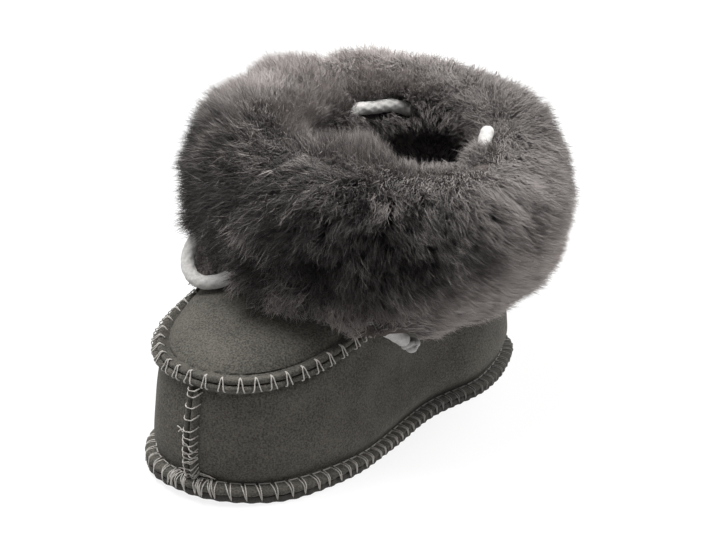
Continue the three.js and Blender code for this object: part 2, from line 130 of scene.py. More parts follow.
def softly(values: Array, at: Array) -> Array:
    """Reads a table smoothly between its entries.

    Args:
        values: the table, with its entries along the first axis.
        at: where to read, counted in entries.

    Returns:
        One entry for each place in at.
    """
    table = np.asarray(values, float)
    padded = np.concatenate([2 * table[:1] - table[1:2], table, 2 * table[-1:] - table[-2:-1]])
    at = np.clip(np.asarray(at, float), 0, len(table) - 1)
    k = np.minimum(at.astype(int), len(table) - 2)
    s = (at - k).reshape(at.shape + (1,) * (table.ndim - 1))
    a, b, c, d = (padded[k + i] for i in range(4))
    return b + 0.5 * s * (c - a + s * (2 * a - 5 * b + 4 * c - d + s * (3 * (b - c) + d - a)))


def from_toe(turn: Array) -> Array:
    """A turn counted both ways from the toe: up to 0.5 on the outer side, down to -0.5 on the inner one."""
    return (np.asarray(turn) + 0.5) % 1 - 0.5


def nearest_on(line: Array, points: Array) -> Array:
    """The nearest point of a line to each point."""
    best = np.full(len(points), np.inf)
    found = np.zeros_like(points)
    for spot in line[::2]:
        away = ((points - spot) ** 2).sum(1)
        closer = away < best
        best[closer] = away[closer]
        found[closer] = spot
    return found


class Ripple:
    """A soft random field in space, from a few plane waves."""

    def __init__(self, seed: int, size: float, waves: int = 10) -> None:
        """Draws the waves: size is the width of one swell."""
        draw = np.random.default_rng(seed)
        self.along = unit(draw.normal(size=(waves, 3))) * math.pi / size * draw.uniform(0.6, 1.4, (waves, 1))
        self.phase = draw.uniform(0, FULL_TURN, waves)

    def at(self, points: Array) -> Array:
        """The field at each point, mostly between -1 and 1."""
        return np.cos(points @ self.along.T + self.phase).sum(-1) / math.sqrt(len(self.phase) / 1.6)


# Finishes
def linear(colour: str) -> tuple[float, float, float, float]:
    """Turns an sRGB hex colour into the linear colour that a shader takes."""
    parts = [int(colour[i : i + 2], 16) / 255 for i in (1, 3, 5)]
    red, green, blue = (p / 12.92 if p <= 0.04045 else ((p + 0.055) / 1.055) ** 2.4 for p in parts)
    return red, green, blue, 1.0


def plug(tree: Tree, node: bpy.types.Node, inputs: dict) -> None:
    """Sets a node's inputs.

    Args:
        tree: the material's nodes.
        node: the node.
        inputs: a value, or an output socket to link, for each input by its name or number.
    """
    for socket, value in inputs.items():
        if isinstance(value, bpy.types.NodeSocket):
            tree.links.new(value, node.inputs[socket])
        else:
            node.inputs[socket].default_value = value


def add_node(tree: Tree, kind: str, inputs: dict | None = None, **settings: object) -> bpy.types.Node:
    """Adds a shader node.

    Args:
        tree: the material's nodes.
        kind: the node's type.
        inputs: what its inputs get, as in plug.
        settings: the node's options.

    Returns:
        The new node.
    """
    node = tree.nodes.new(kind)
    for name, value in settings.items():
        setattr(node, name, value)
    plug(tree, node, inputs or {})
    return node


def fresh_material(name: str) -> tuple[bpy.types.Material, Tree, bpy.types.Node]:
    """Makes a material with a bare Principled shader, and returns it with its tree and shader."""
    material = bpy.data.materials.new(name)
    material.use_nodes = True
    tree = material.node_tree
    return material, tree, tree.nodes["Principled BSDF"]


def per_metre(size_mm: float) -> float:
    """The texture scale that gives features of a size."""
    return 1 / (size_mm * MM)


def painted_edge_shade(tree: Tree, place: bpy.types.NodeSocket) -> bpy.types.NodeSocket:
    """Adds painted shade low on the sewn edge at the arch and the heel.

    Args:
        tree: the material's nodes.
        place: Object coordinates.

    Returns:
        The output that is 1 where the shade is painted and 0 elsewhere.
    """
    spot = add_node(tree, "ShaderNodeSeparateXYZ", {0: place})
    shares = []
    for axis, unshaded, full_shade in ((2, 7, 3.5), (1, -20, 25)):
        reach = {"Value": spot.outputs[axis], "From Min": unshaded * MM, "From Max": full_shade * MM}
        share = add_node(tree, "ShaderNodeMapRange", reach, interpolation_type="SMOOTHSTEP")
        shares.append(share.outputs[0])
    low, back = shares
    return add_node(tree, "ShaderNodeMath", {0: low, 1: back}, operation="MULTIPLY").outputs[0]


@dataclass(frozen=True)
class Suede:
    """Sheepskin's flesh side, brushed: matt, dyed a little unevenly, with a short nap that catches light."""

    name: str
    dark: str
    light: str
    mottle_mm: float = 9.0
    nap_mm: float = 0.5  # drawn coarser than real nap, so that it shows
    pore_mm: float = 1.6
    relief_mm: float = 0.12
    sheen: float = 0.25

    def material(self) -> bpy.types.Material:
        """Builds the finish on Object coordinates."""
        material, tree, shader = fresh_material(self.name)
        place = add_node(tree, "ShaderNodeTexCoord").outputs["Object"]
        grains = []
        for size_mm, detail in ((self.mottle_mm, 3.0), (self.nap_mm, 3.0), (self.pore_mm, 2.0)):
            grain = {"Vector": place, "Scale": per_metre(size_mm), "Detail": detail}
            grains.append(add_node(tree, "ShaderNodeTexNoise", grain).outputs[0])
        mottle, nap, pores = grains
        shares = []
        for noise, low, high, least, most in ((mottle, 0.32, 0.68, 0.34, 0.66), (nap, 0.3, 0.7, -0.6, 0.6)):
            reach = {"Value": noise, "From Min": low, "From Max": high, "To Min": least, "To Max": most}
            shares.append(add_node(tree, "ShaderNodeMapRange", reach).outputs[0])
        share = add_node(tree, "ShaderNodeMath", {0: shares[0], 1: shares[1]}, use_clamp=True).outputs[0]
        # Painted shade: darker low on the sewn edge at the arch and the heel.
        reach = {"Value": painted_edge_shade(tree, place), "To Min": 1.0, "To Max": 0.2}
        unshaded = add_node(tree, "ShaderNodeMapRange", reach).outputs[0]
        share = add_node(tree, "ShaderNodeMath", {0: share, 1: unshaded}, operation="MULTIPLY").outputs[0]
        mix = {0: share, 6: linear(self.dark), 7: linear(self.light)}
        height = add_node(tree, "ShaderNodeMath", {0: nap, 1: pores}).outputs[0]
        relief = {"Height": height, "Distance": self.relief_mm * MM, "Strength": 0.8}
        surface = {
            "Base Color": add_node(tree, "ShaderNodeMix", mix, data_type="RGBA").outputs[2],
            "Normal": add_node(tree, "ShaderNodeBump", relief).outputs[0],
            "Roughness": 0.95,
            "Specular IOR Level": 0.2,
            "Sheen Weight": self.sheen,
            "Sheen Roughness": 0.6,
            "Sheen Tint": linear(self.light),
        }
        plug(tree, shader, surface)
        return material


@dataclass(frozen=True)
class Pile:
    """Sheep's wool seen hair by hair: dark at the roots, which paints the shade deep in the pile, paler at
    the tips, hardly any gloss.
    """

    name: str
    root: str
    dull_tip: str
    pale_tip: str

    def material(self) -> bpy.types.Material:
        """Builds the finish on the hairs' own map, which holds the way along a hair and its tone."""
        material, tree, shader = fresh_material(self.name)
        hair = add_node(tree, "ShaderNodeUVMap", uv_map=Hairs.TONE_MAP)
        along = add_node(tree, "ShaderNodeSeparateXYZ", {0: hair.outputs[0]})
        # The tone on the map carries the cuff's painted light and shade along with each hair's own tone.
        tones = {0: along.outputs[1], 6: linear(self.dull_tip), 7: linear(self.pale_tip)}
        tip = add_node(tree, "ShaderNodeMix", tones, data_type="RGBA").outputs[2]
        # Painted shade: the root colour darkens each hair towards its root, deep in the pile.
        reach = {"Value": along.outputs[0], "From Min": 0.1, "From Max": 0.85}
        fade = add_node(tree, "ShaderNodeMapRange", reach, interpolation_type="SMOOTHSTEP").outputs[0]
        mix = {0: fade, 6: linear(self.root), 7: tip}
        surface = {
            "Base Color": add_node(tree, "ShaderNodeMix", mix, data_type="RGBA").outputs[2],
            "Roughness": 0.8,
            "Specular IOR Level": 0.25,
            "Sheen Weight": 0.2,
            "Sheen Tint": linear(self.pale_tip),
        }
        plug(tree, shader, surface)
        return material


@dataclass(frozen=True)
class Felt:
    """Matted wool under the hairs: soft, dark and rough; its dark colour paints shade in the gaps of the
    pile, so that they stay deep.
    """

    name: str
    dark: str
    light: str
    tuft_mm: float = 2.2
    relief_mm: float = 0.8

    def material(self) -> bpy.types.Material:
        """Builds the finish on Object coordinates."""
        material, tree, shader = fresh_material(self.name)
        place = add_node(tree, "ShaderNodeTexCoord").outputs["Object"]
        grain = {"Vector": place, "Scale": per_metre(self.tuft_mm), "Detail": 4.0}
        tufts = add_node(tree, "ShaderNodeTexNoise", grain).outputs[0]
        mix = {0: tufts, 6: linear(self.dark), 7: linear(self.light)}
        relief = {"Height": tufts, "Distance": self.relief_mm * MM, "Strength": 1.0}
        surface = {
            "Base Color": add_node(tree, "ShaderNodeMix", mix, data_type="RGBA").outputs[2],
            "Normal": add_node(tree, "ShaderNodeBump", relief).outputs[0],
            "Roughness": 1.0,
            "Specular IOR Level": 0.1,
        }
        plug(tree, shader, surface)
        return material


@dataclass(frozen=True)
class Cotton:
    """Spun cotton, for thread and cord: off-white, matt, with fibres that break up the colour a little."""

    name: str
    shade: str
    light: str
    fibre_mm: float
    relief_mm: float
    # The colour of the painted shade low at the arch and the heel.
    painted_shade: str = "#6a6764"

    def material(self) -> bpy.types.Material:
        """Builds the finish on Object coordinates."""
        material, tree, shader = fresh_material(self.name)
        place = add_node(tree, "ShaderNodeTexCoord").outputs["Object"]
        grain = {"Vector": place, "Scale": per_metre(self.fibre_mm), "Detail": 3.0}
        fibre = add_node(tree, "ShaderNodeTexNoise", grain).outputs[0]
        mix = {0: fibre, 6: linear(self.shade), 7: linear(self.light)}
        unshaded = add_node(tree, "ShaderNodeMix", mix, data_type="RGBA").outputs[2]
        # Painted shade: darker low at the arch and the heel.
        mix = {0: painted_edge_shade(tree, place), 6: unshaded, 7: linear(self.painted_shade)}
        relief = {"Height": fibre, "Distance": self.relief_mm * MM, "Strength": 0.7}
        surface = {
            "Base Color": add_node(tree, "ShaderNodeMix", mix, data_type="RGBA").outputs[2],
            "Normal": add_node(tree, "ShaderNodeBump", relief).outputs[0],
            "Roughness": 0.85,
            "Specular IOR Level": 0.25,
            "Sheen Weight": 0.2,
        }
        plug(tree, shader, surface)
        return material


class Finish(Enum):
    """The materials of the bootie."""

    UPPER = Suede("grey_suede", "#343330", "#5a5751")
    SOLE = Suede("grey_sole_suede", "#363432", "#45423f")
    # The fur's tips go from dull to pale with each hair's tone, which carries painted light and shade; its
    # dark roots paint the shade deep in the pile.
    FUR = Pile("grey_sheep_fur", "#2a2827", "#363433", "#a39c99")
    # The lining wool is paler than the cuff's pile, and lightened further to paint light into the shaded
    # inside.
    LINING = Pile("grey_cropped_wool", "#5a5454", "#8f8888", "#b8b1b1")
    FELT = Felt("grey_wool_felt", "#38332f", "#544e4c")
    GROUND = Felt("grey_wool_ground", "#565050", "#8a8282")
    CORD = Cotton("white_cotton_cord", "#898784", "#bab8b6", fibre_mm=0.7, relief_mm=0.12)
    THREAD = Cotton("pale_cotton_thread", "#86827d", "#b6b2ad", fibre_mm=0.4, relief_mm=0.05)

    def material(self) -> bpy.types.Material:
        """The finish's material, made when it is first asked for."""
        return bpy.data.materials.get(self.value.name) or self.value.material()


# Making meshes
def select_only(piece: Piece) -> None:
    """Leaves one object selected and active."""
    bpy.ops.object.select_all(action="DESELECT")
    piece.select_set(True)
    bpy.context.view_layer.objects.active = piece


def added(name: str, data: bpy.types.ID) -> Piece:
    """Makes an object and puts it in the scene."""
    piece = bpy.data.objects.new(name, data)
    bpy.context.scene.collection.objects.link(piece)
    return piece


def laid_grid(name: str, columns: int, rows: int, place: Place) -> Piece:
    """Adds a grid primitive and lays its points on a form.

    Args:
        name: the piece's name.
        columns: how many cells it has along its first direction.
        rows: how many cells it has along its second direction.
        place: gives points in millimetres from whole column and row numbers.

    Returns:
        The piece, at the origin, with its place in its mesh.
    """
    bpy.ops.object.select_all(action="DESELECT")
    bpy.ops.mesh.primitive_grid_add(x_subdivisions=columns, y_subdivisions=rows, size=2)
    piece = bpy.context.object
    piece.name = piece.data.name = name
    flat = np.empty(len(piece.data.vertices) * 3, np.float32)
    piece.data.vertices.foreach_get("co", flat)
    share = (flat.reshape(-1, 3) + 1) / 2
    column = np.rint(share[:, 0] * columns).astype(int)
    row = np.rint(share[:, 1] * rows).astype(int)
    piece.data.vertices.foreach_set("co", (place(column, row) * MM).astype(np.float32).ravel())
    piece.data.update()
    return piece


def close_up(piece: Piece, fill: bool = False) -> Piece:
    """Joins edges that meet, fills open ends if asked, turns the faces outwards and shades them softly."""
    select_only(piece)
    bpy.ops.object.mode_set(mode="EDIT")
    bpy.ops.mesh.select_all(action="SELECT")
    bpy.ops.mesh.remove_doubles(threshold=1e-6)
    if fill:
        bpy.ops.mesh.fill_holes(sides=0)
        bpy.ops.mesh.select_all(action="SELECT")
    bpy.ops.mesh.normals_make_consistent(inside=False)
    bpy.ops.object.mode_set(mode="OBJECT")
    bpy.ops.object.shade_smooth_by_angle(angle=math.radians(50))
    return piece


def dress(piece: Piece, finish: Finish, slot: str | None, *nodes: str) -> Piece:
    """Gives a piece its finish and its part in the frame.

    Args:
        piece: the finished mesh.
        finish: its material.
        slot: not used.
        nodes: the CAD nodes that it stands for.

    Returns:
        The piece.
    """
    piece.data.materials.clear()
    piece.data.materials.append(finish.material())
    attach(piece, BODY)
    if nodes:
        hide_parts(*nodes)
    LOG.info("%s: %d faces", piece.name, len(piece.data.polygons))
    return piece


def tube(name: str, path: Array, radius: float, sides: int, relief: Place | None = None) -> Piece:
    """Lays a round tube with domed ends along a path.

    Args:
        name: the piece's name.
        path: the centre line, in millimetres.
        radius: the tube's radius.
        sides: how many faces go round.
        relief: gives a share of the radius to add, from the angle and the run along the path.

    Returns:
        The piece.
    """
    count = len(path)
    ahead = unit(np.gradient(path, axis=0))
    across = np.empty_like(path)
    across[0] = unit(np.cross(ahead[0], (0.31, 0.42, 0.85)))
    for i in range(1, count):
        across[i] = unit(across[i - 1] - ahead[i] * (across[i - 1] @ ahead[i]))
    up = np.cross(ahead, across)
    run = run_along(path)
    dome = np.minimum(run, run[-1] - run)
    size = radius * np.sqrt(np.clip(1 - (1 - np.minimum(dome / radius, 1)) ** 2, 0, 1))

    def place(column: Array, row: Array) -> Array:
        """Points round the path: a column for each of its points, a row for each side."""
        angle = FULL_TURN * row / sides
        reach = size[column] * (1 + (relief(angle, run[column]) if relief else 0))
        ring = across[column] * np.cos(angle)[:, None] + up[column] * np.sin(angle)[:, None]
        return path[column] + ring * reach[:, None]

    return close_up(laid_grid(name, count - 1, sides, place))


# The bootie's form
@dataclass
class Ring:
    """A closed line round the foot in plan, read by turn."""

    points: Array
    normals: Array = field(init=False)
    length: float = field(init=False)
    samples: int = 2400

    def __post_init__(self) -> None:
        """Spaces the points evenly and works out which way is out."""
        loop = np.vstack([self.points, self.points[:1]])
        self.points = evenly(loop, self.samples + 1)
        self.length = float(paces(self.points).sum())
        ahead = self.points[1:] - self.points[:-1]
        ahead = unit(ahead + np.roll(ahead, 1, axis=0))
        out = np.stack([ahead[:, 1], -ahead[:, 0]], -1)
        self.normals = np.vstack([out, out[:1]])

    def _read(self, table: Array, turn: Array) -> Array:
        """Reads a table of the ring at each turn, with height 0 added."""
        at = np.asarray(turn, float) % 1 * self.samples
        flat = [np.interp(at, np.arange(self.samples + 1), column) for column in table.T]
        return np.stack([*flat, np.zeros_like(at)], -1)

    def at(self, turn: Array) -> Array:
        """The line's points."""
        return self._read(self.points, turn)

    def out(self, turn: Array) -> Array:
        """The outward directions."""
        return unit(self._read(self.normals, turn))


@dataclass(frozen=True)
class Row:
    """One ring of the skin: how far it has gone from the sole's plan to the collar's, and how high it is."""

    toe_travel: float
    toe_height: float
    heel_travel: float
    heel_height: float
    bulge: float = 0.0


@dataclass(frozen=True)
class Crease:
    """A soft trough, or a ridge if its depth is negative, in the skin."""

    turn: float
    row: float
    reach: float  # along the crease
    width: float  # across it
    depth: float
    slant: float  # degrees from level, rising towards the heel on the outer side


@dataclass
class Last:
    """The form that the skin is sewn to."""

    sole_length: float = 142.0
    sole_thickness: float = 2.2
    skin: float = 2.0
    gap: float = 0.3
    sewn_edge: float = 4.0
    toe_apex_x: float = -4.5
    toe_spring: float = 1.4
    spring_length: float = 20.0
    collar_height: float = 78.0
    collar_half_width: float = 27.5
    collar_front: float = -20.0
    collar_back: float = 64.0
    front_length: float = 90.0
    stitch: float = 4.6  # from one stitch to the next at the toe and round the vamp
    side_stitch: float = 3.3  # along the sole's sides and heel
    vamp_turn: float = 10 / 60  # where the vamp's seam leaves the toe
    # From the toe, and out to the inner and outer side
    stations: tuple = (
        (4, 19.5, 9),
        (18, 31, 21.6),
        (42, 32.5, 28),
        (84, 27.5, 25.6),
        (108, 29, 29),
        (134, 19, 20),
    )
    wall: tuple[Row, ...] = (
        Row(0, 4.5, 0, 4.5, 0),
        Row(0, 10, 0, 12, 1.9),
        Row(0, 22, 0.1, 32, 1.5),
        Row(0.03, 35.6, 0.3, 53, 0.4),
    )
    top: tuple[Row, ...] = (
        Row(0.08, 38.6, 0.4, 55.5),
        Row(0.19, 42, 0.5, 58),
        Row(0.43, 46.4, 0.6, 62),
        Row(0.71, 51, 0.75, 66),
        Row(0.9, 58, 0.9, 70),
        Row(0.97, 67, 0.95, 74),
        Row(1, 78, 1, 78),
    )
    sole: Ring = field(init=False)
    collar: Ring = field(init=False)
    seam_turn: Array = field(init=False)
    seam_count: Array = field(init=False)

    def __post_init__(self) -> None:
        """Draws the two plans and counts the stitches of the sole's seam."""
        lateral = [(out, self.toe_y + y) for y, _, out in self.stations]
        medial = [(-out, self.toe_y + y) for y, out, _ in reversed(self.stations)]
        corners = [(self.toe_apex_x, self.toe_y), *lateral, (0, self.toe_y + self.sole_length), *medial]
        self.sole = Ring(through(corners, closed=True, steps=100))
        angle = np.radians(np.linspace(-90, 270, 2000, endpoint=False))
        middle = (self.collar_front + self.collar_back) / 2
        half_length = (self.collar_back - self.collar_front) / 2
        oval = [self.collar_half_width * np.cos(angle), middle + half_length * np.sin(angle)]
        self.collar = Ring(np.stack(oval, -1))
        self._count_stitches()

    def _count_stitches(self) -> None:
        """Spaces the stitches of the sole's seam: a whole number, shorter from the ball of the foot back."""
        self.seam_turn = np.linspace(0, 1, 1201)
        away = np.minimum(self.seam_turn, 1 - self.seam_turn) * self.sole.length
        pitch = self.stitch + (self.side_stitch - self.stitch) * smooth(away, 20, 75)
        count = np.r_[0, np.cumsum(np.diff(self.seam_turn) * self.sole.length / pitch[1:])]
        self.seam_count = count * round(count[-1]) / count[-1]

    def stitches_to(self, turn: Array) -> Array:
        """How many stitches of the sole's seam lie between the toe and each turn."""
        return np.interp(np.asarray(turn) % 1, self.seam_turn, self.seam_count)

    @property
    def toe_y(self) -> float:
        """Where the sole begins."""
        return -self.sole_length / 2

    @property
    def seam_row(self) -> int:
        """The row of the vamp's seam."""
        return len(self.wall) - 1

    @property
    def collar_row(self) -> int:
        """The last row."""
        return self.seam_row + len(self.top)

    def spring(self, y: Array) -> Array:
        """How far the toe lifts off the floor."""
        ahead = np.maximum(0, self.toe_y + self.spring_length - y)
        return self.toe_spring * (ahead / self.spring_length) ** 2

    def edge_rows(self, turn: Array, section: Sequence, scallop: Array) -> list[Array]:
        """Rows of points along the sole's edge, lifted at the toe with the sole.

        Args:
            turn: the places round the foot.
            section: for each row, the way in from the edge, the height and the share of the scallops.
            scallop: how far the edge stands out at each place.

        Returns:
            The rows.
        """
        edge, out = self.sole.at(turn), self.sole.out(turn)
        rows = []
        for inset, height, share in section:
            point = edge + out * (scallop * share - inset)[:, None]
            point[:, 2] = height + self.spring(edge[:, 1])
            rows.append(point)
        return rows

    def frontness(self, turn: Array) -> Array:
        """1 at the toe, 0 from the ankle back."""
        return 1 - smooth(self.sole.at(turn)[..., 1] - self.toe_y, 0, self.front_length)

    def _row(self, name: str, row: Array) -> Array:
        """Reads one column of the rows, with a fold kept at the seam."""
        wall = [getattr(r, name) for r in self.wall]
        top = [getattr(r, name) for r in (self.wall[-1], *self.top)]
        return np.where(row <= self.seam_row, softly(wall, row), softly(top, row - self.seam_row))

    def skin_at(self, turn: Array, row: Array) -> Array:
        """Points of the skin's outer face."""
        turn, row = np.broadcast_arrays(np.asarray(turn, float), np.asarray(row, float))
        front = self.frontness(turn)
        travel = self._row("heel_travel", row) * (1 - front) + self._row("toe_travel", row) * front
        height = self._row("heel_height", row) * (1 - front) + self._row("toe_height", row) * front
        edge, out = self.sole.at(turn), self.sole.out(turn)
        point = blend(edge - out * self.sewn_edge, self.collar.at(turn), travel)
        point = point + out * self._row("bulge", row)[..., None]
        point[..., 2] = height + self.spring(edge[..., 1]) * (1 - height / self.collar_height)
        return point

    def out_at(self, turn: Array, row: Array) -> Array:
        """Outward directions of the skin, taken on the row's own side of the seam."""
        turn, row = np.broadcast_arrays(np.asarray(turn, float), np.asarray(row, float))
        on_wall = row <= self.seam_row
        low = np.where(on_wall, 0, self.seam_row) + 1e-6
        high = np.where(on_wall, self.seam_row, self.collar_row)
        step, aside = 0.05, 0.002
        above, below = np.minimum(row + step, high), np.maximum(row - step, low)
        up = self.skin_at(turn, above) - self.skin_at(turn, below)
        along = self.skin_at(turn + aside, row) - self.skin_at(turn - aside, row)
        return unit(np.cross(along, up))

    def inside_at(self, turn: Array, row: Array, gap: float = 0.0) -> Array:
        """Points of the skin's inner face, or of a face a gap further in."""
        return self.skin_at(turn, row) - self.out_at(turn, row) * (self.skin + gap)

    def row_after(self, turn: Array, distance: float) -> Array:
        """The row that lies a distance up, or down if negative, from the vamp's seam."""
        way = np.sign(distance)
        steps = np.linspace(0, 2.5, 60) * way
        line = self.skin_at(np.asarray(turn)[:, None], self.seam_row + steps[None, :] + 1e-6 * way)
        run = np.cumsum(np.linalg.norm(np.diff(line, axis=1), axis=2), axis=1)
        return self.seam_row + np.array([np.interp(abs(distance), np.r_[0, r], steps) for r in run])


# Hair
@dataclass
class Hairs:
    """A coat of hairs as narrow blades in a few joined meshes."""

    TONE_MAP = "hair_tone"
    BAKE_MAP = "OFBake"
    TONES = 64
    PER_PIECE = 98000  # two triangles each, so under 200,000 for a piece

    name: str
    root: Array
    middle: Array
    tip: Array
    facing: Array
    tone: Array
    width: float  # thicker than real wool, so that the coat shows and closes with fewer hairs

    def pieces(self, finish: Finish, slot: str) -> list[Piece]:
        """Makes the meshes, each under the limit of faces, and dresses them."""
        made = []
        for start in range(0, len(self.root), self.PER_PIECE):
            part = slice(start, start + self.PER_PIECE)
            piece = self._mesh(f"{self.name}_{len(made) + 1}", part)
            made.append(dress(piece, finish, slot))
        return made

    def _mesh(self, name: str, part: slice) -> Piece:
        """Makes one mesh of a share of the hairs: blades pointed at both ends and bent in the middle."""
        root, middle, tip = self.root[part], self.middle[part], self.tip[part]
        across = unit(np.cross(tip - root, self.facing[part])) * self.width / 2
        corners = np.stack([root, middle + across, tip, middle - across], 1)
        count = len(root)
        base = 4 * np.arange(count)[:, None, None]
        triangles = (base + np.array([[0, 1, 3], [3, 1, 2]])).reshape(-1, 3)
        mesh = bpy.data.meshes.new(name)
        mesh.vertices.add(4 * count)
        mesh.vertices.foreach_set("co", (corners * MM).astype(np.float32).ravel())
        mesh.loops.add(6 * count)
        mesh.loops.foreach_set("vertex_index", triangles.astype(np.int32).ravel())
        mesh.polygons.add(2 * count)
        mesh.polygons.foreach_set("loop_start", np.arange(0, 6 * count, 3, dtype=np.int32))
        mesh.polygons.foreach_set("use_smooth", np.ones(2 * count, bool))
        mesh.update(calc_edges=True)
        step = np.floor(np.clip(self.tone[part], 0, 0.999) * self.TONES)
        v = (step[:, None] + np.array([0.5, 0.75, 0.5, 0.25])[None]) / self.TONES
        u = np.broadcast_to([0.01, 0.55, 0.99, 0.55], (count, 4))
        spots = np.stack([u, v], -1).reshape(-1, 2)[triangles.ravel()]
        for layer in (self.TONE_MAP, self.BAKE_MAP):
            mesh.uv_layers.new(name=layer).uv.foreach_set("vector", spots.astype(np.float32).ravel())
        return added(name, mesh)


# Skin
def pull(stitches: Array) -> Array:
    """1 at each stitch, 0 halfway between two, from a count of stitches."""
    return 0.5 + 0.5 * np.cos(FULL_TURN * stitches)


@dataclass
class Skin:
    """The suede panels: side and heel in one piece, and the vamp, with their edges turned out as lips."""

    last: Last
    lip_height: float = 2.2
    lip_width: float = 1.95
    toe_ridge: float = 2.2
    toe_lip_at: float = 1.05  # from the toe seam's groove to the middle of a lip
    toe_lip_half: float = 1.1  # half a lip's width
    toe_groove: float = 0.45  # height of the groove's floor, as a share of the ridge
    toe_seam: float = 1.9  # from the toe's point to the outer side
    rim_under: float = 1.0  # rows by which the skin's edge stays under the pile
    inner_lift: float = 0.35  # how much taller the lips are on the inner side
    sag: float = 1.3  # of the wall over the sewn edge
    lip_foot: float = 3.6  # from the seam to where a lip leaves its panel
    wall_foot: float = 0.2  # the wall's first row, over the sewn edge
    columns: int = 380
    vamp_columns: int = 150
    flange_foot: float = 2.4
    # The sewn edge in section: in from the sole's edge, height, and how much of the scallops it takes
    flange: tuple = (
        (1.2, 2.45, 0.2),
        (0.25, 2.4, 1),
        (-0.2, 3.0, 1),
        (-0.1, 3.9, 1),
        (0.6, 4.5, 0.8),
        (1.8, 4.7, 0.4),
        (3.0, 4.75, 0.1),
        (3.55, 5.1, 0),
    )
    creases: tuple[Crease, ...] = (
        Crease(0.115, 2.2, 16, 5.0, 0.7, 12),
        Crease(0.2, 1.7, 20, 6.0, 0.6, 8),
        Crease(0.06, 1.2, 10, 6.0, -0.4, 70),
        Crease(0.93, 1.8, 12, 6.0, 0.6, 75),
        Crease(0.3, 1.2, 18, 5.0, 0.5, 0),
        Crease(0.0, 5.6, 12, 7.0, 0.5, 0),
    )

    def seam(self, turn: Array) -> tuple[Array, Array, Array]:
        """The vamp's seam: its points, the way towards the vamp and the way out."""
        row = np.full_like(turn, self.last.seam_row)
        point = self.last.skin_at(turn, row)
        out = unit(self.last.out_at(turn, row) + self.last.out_at(turn, row + 1e-3))
        out = unit(out + np.array([0, 0, 0.8]) * self.inner_side(turn)[:, None])
        along = unit(self.last.skin_at(turn + 1e-3, row) - self.last.skin_at(turn - 1e-3, row))
        return point, unit(np.cross(out, along)), out

    def inner_side(self, turn: Array) -> Array:
        """1 along the inner side of the vamp's seam, where the lips stand up most, and 0 on the outer one."""
        return smooth(-from_toe(turn), 0.02, 0.09)

    def sagging(self, turn: Array) -> Array:
        """How far the wall sags over the sewn edge: most at the waist, not at all round the toe."""
        away = np.minimum(np.asarray(turn) % 1, 1 - np.asarray(turn) % 1)
        return smooth(away, 0.1, 0.22) * (1 - 0.4 * smooth(away, 0.3, 0.45))

    def seam_run(self, turn: Array) -> Array:
        """Distance along the vamp's seam from the toe."""
        fine = np.linspace(-0.2, 0.2, 801)
        line = self.last.skin_at(fine, np.full_like(fine, self.last.seam_row))
        run = run_along(line)
        return np.interp(from_toe(turn), fine, run - run[len(run) // 2])

    def lip_share(self, turn: Array) -> Array:
        """1 along the vamp's seam, and 0 where the lips end under the fur."""
        return 1 - smooth(np.abs(from_toe(turn)), self.last.vamp_turn - 0.012, self.last.vamp_turn)

    def lip_profile(self, side: int) -> Array:
        """A lip's outline from its root on the panel over the crown to the groove: across and out."""
        w, h = self.lip_width, self.lip_height
        outline = [(1.35 * w, -0.5 * h), (1.1 * w, -0.12 * h), (1.0 * w, 0.38 * h), (0.92 * w, 0.82 * h)]
        outline += [(0.7 * w, h), (0.32 * w, 0.97 * h), (0.11 * w, 0.8 * h), (0.05 * w, 0.45 * h)]
        return np.array(outline) * (side, 1)

    def dents(self, turn: Array, row: Array) -> Array:
        """How far the listed creases move the skin outwards."""
        here = self.last.skin_at(turn, row)
        total = np.zeros(here.shape[:-1])
        for crease in self.creases:
            middle = self.last.skin_at(np.array(crease.turn), np.array(crease.row))
            out = self.last.sole.out(np.array(crease.turn))
            level = np.array([-out[1], out[0], 0.0])
            slant = math.radians(crease.slant)
            along = level * math.cos(slant) + np.array([0, 0, math.sin(slant)])
            offset = here - middle
            run = offset @ along
            away = np.linalg.norm(offset - run[..., None] * along, axis=-1)
            total -= crease.depth * np.exp(-((run / crease.reach) ** 2) - (away / crease.width) ** 2)
        return total

    def toe_relief(self, turn: Array) -> Array:
        """Height of the toe seam's two lips over the wall."""
        run = np.abs(from_toe(turn) * self.last.sole.length - self.toe_seam)
        lip = np.sqrt(np.clip(1 - ((run - self.toe_lip_at) / self.toe_lip_half) ** 2, 0, 1))
        return self.toe_ridge * np.maximum(lip, np.where(run < 1, self.toe_groove, 0))

    def wall_at(self, turn: Array, row: Array) -> Array:
        """The outer face with its creases, puckers and the toe seam's ridge."""
        last = self.last
        point = last.skin_at(turn, row)
        height = point[..., 2] - last.skin_at(turn, np.zeros_like(row))[..., 2]
        below = last.skin_at(turn, np.full_like(row, last.seam_row))[..., 2] - point[..., 2]
        move = self.dents(turn, row)
        move = move - 0.3 * pull(last.stitches_to(turn)) * np.exp(-height / 2.5)
        puckers = pull(self.seam_run(turn) / last.stitch) * np.exp(-np.abs(below) / 3)
        move = move - 0.35 * puckers * self.lip_share(turn)
        move = move + self.toe_relief(turn) * smooth(row, 0.0, 0.15) * (row <= last.seam_row)
        move = move + self.sag * self.sagging(turn) * np.exp(-(((height - 4) / 5) ** 2))
        return point + last.out_at(turn, row) * move[..., None]

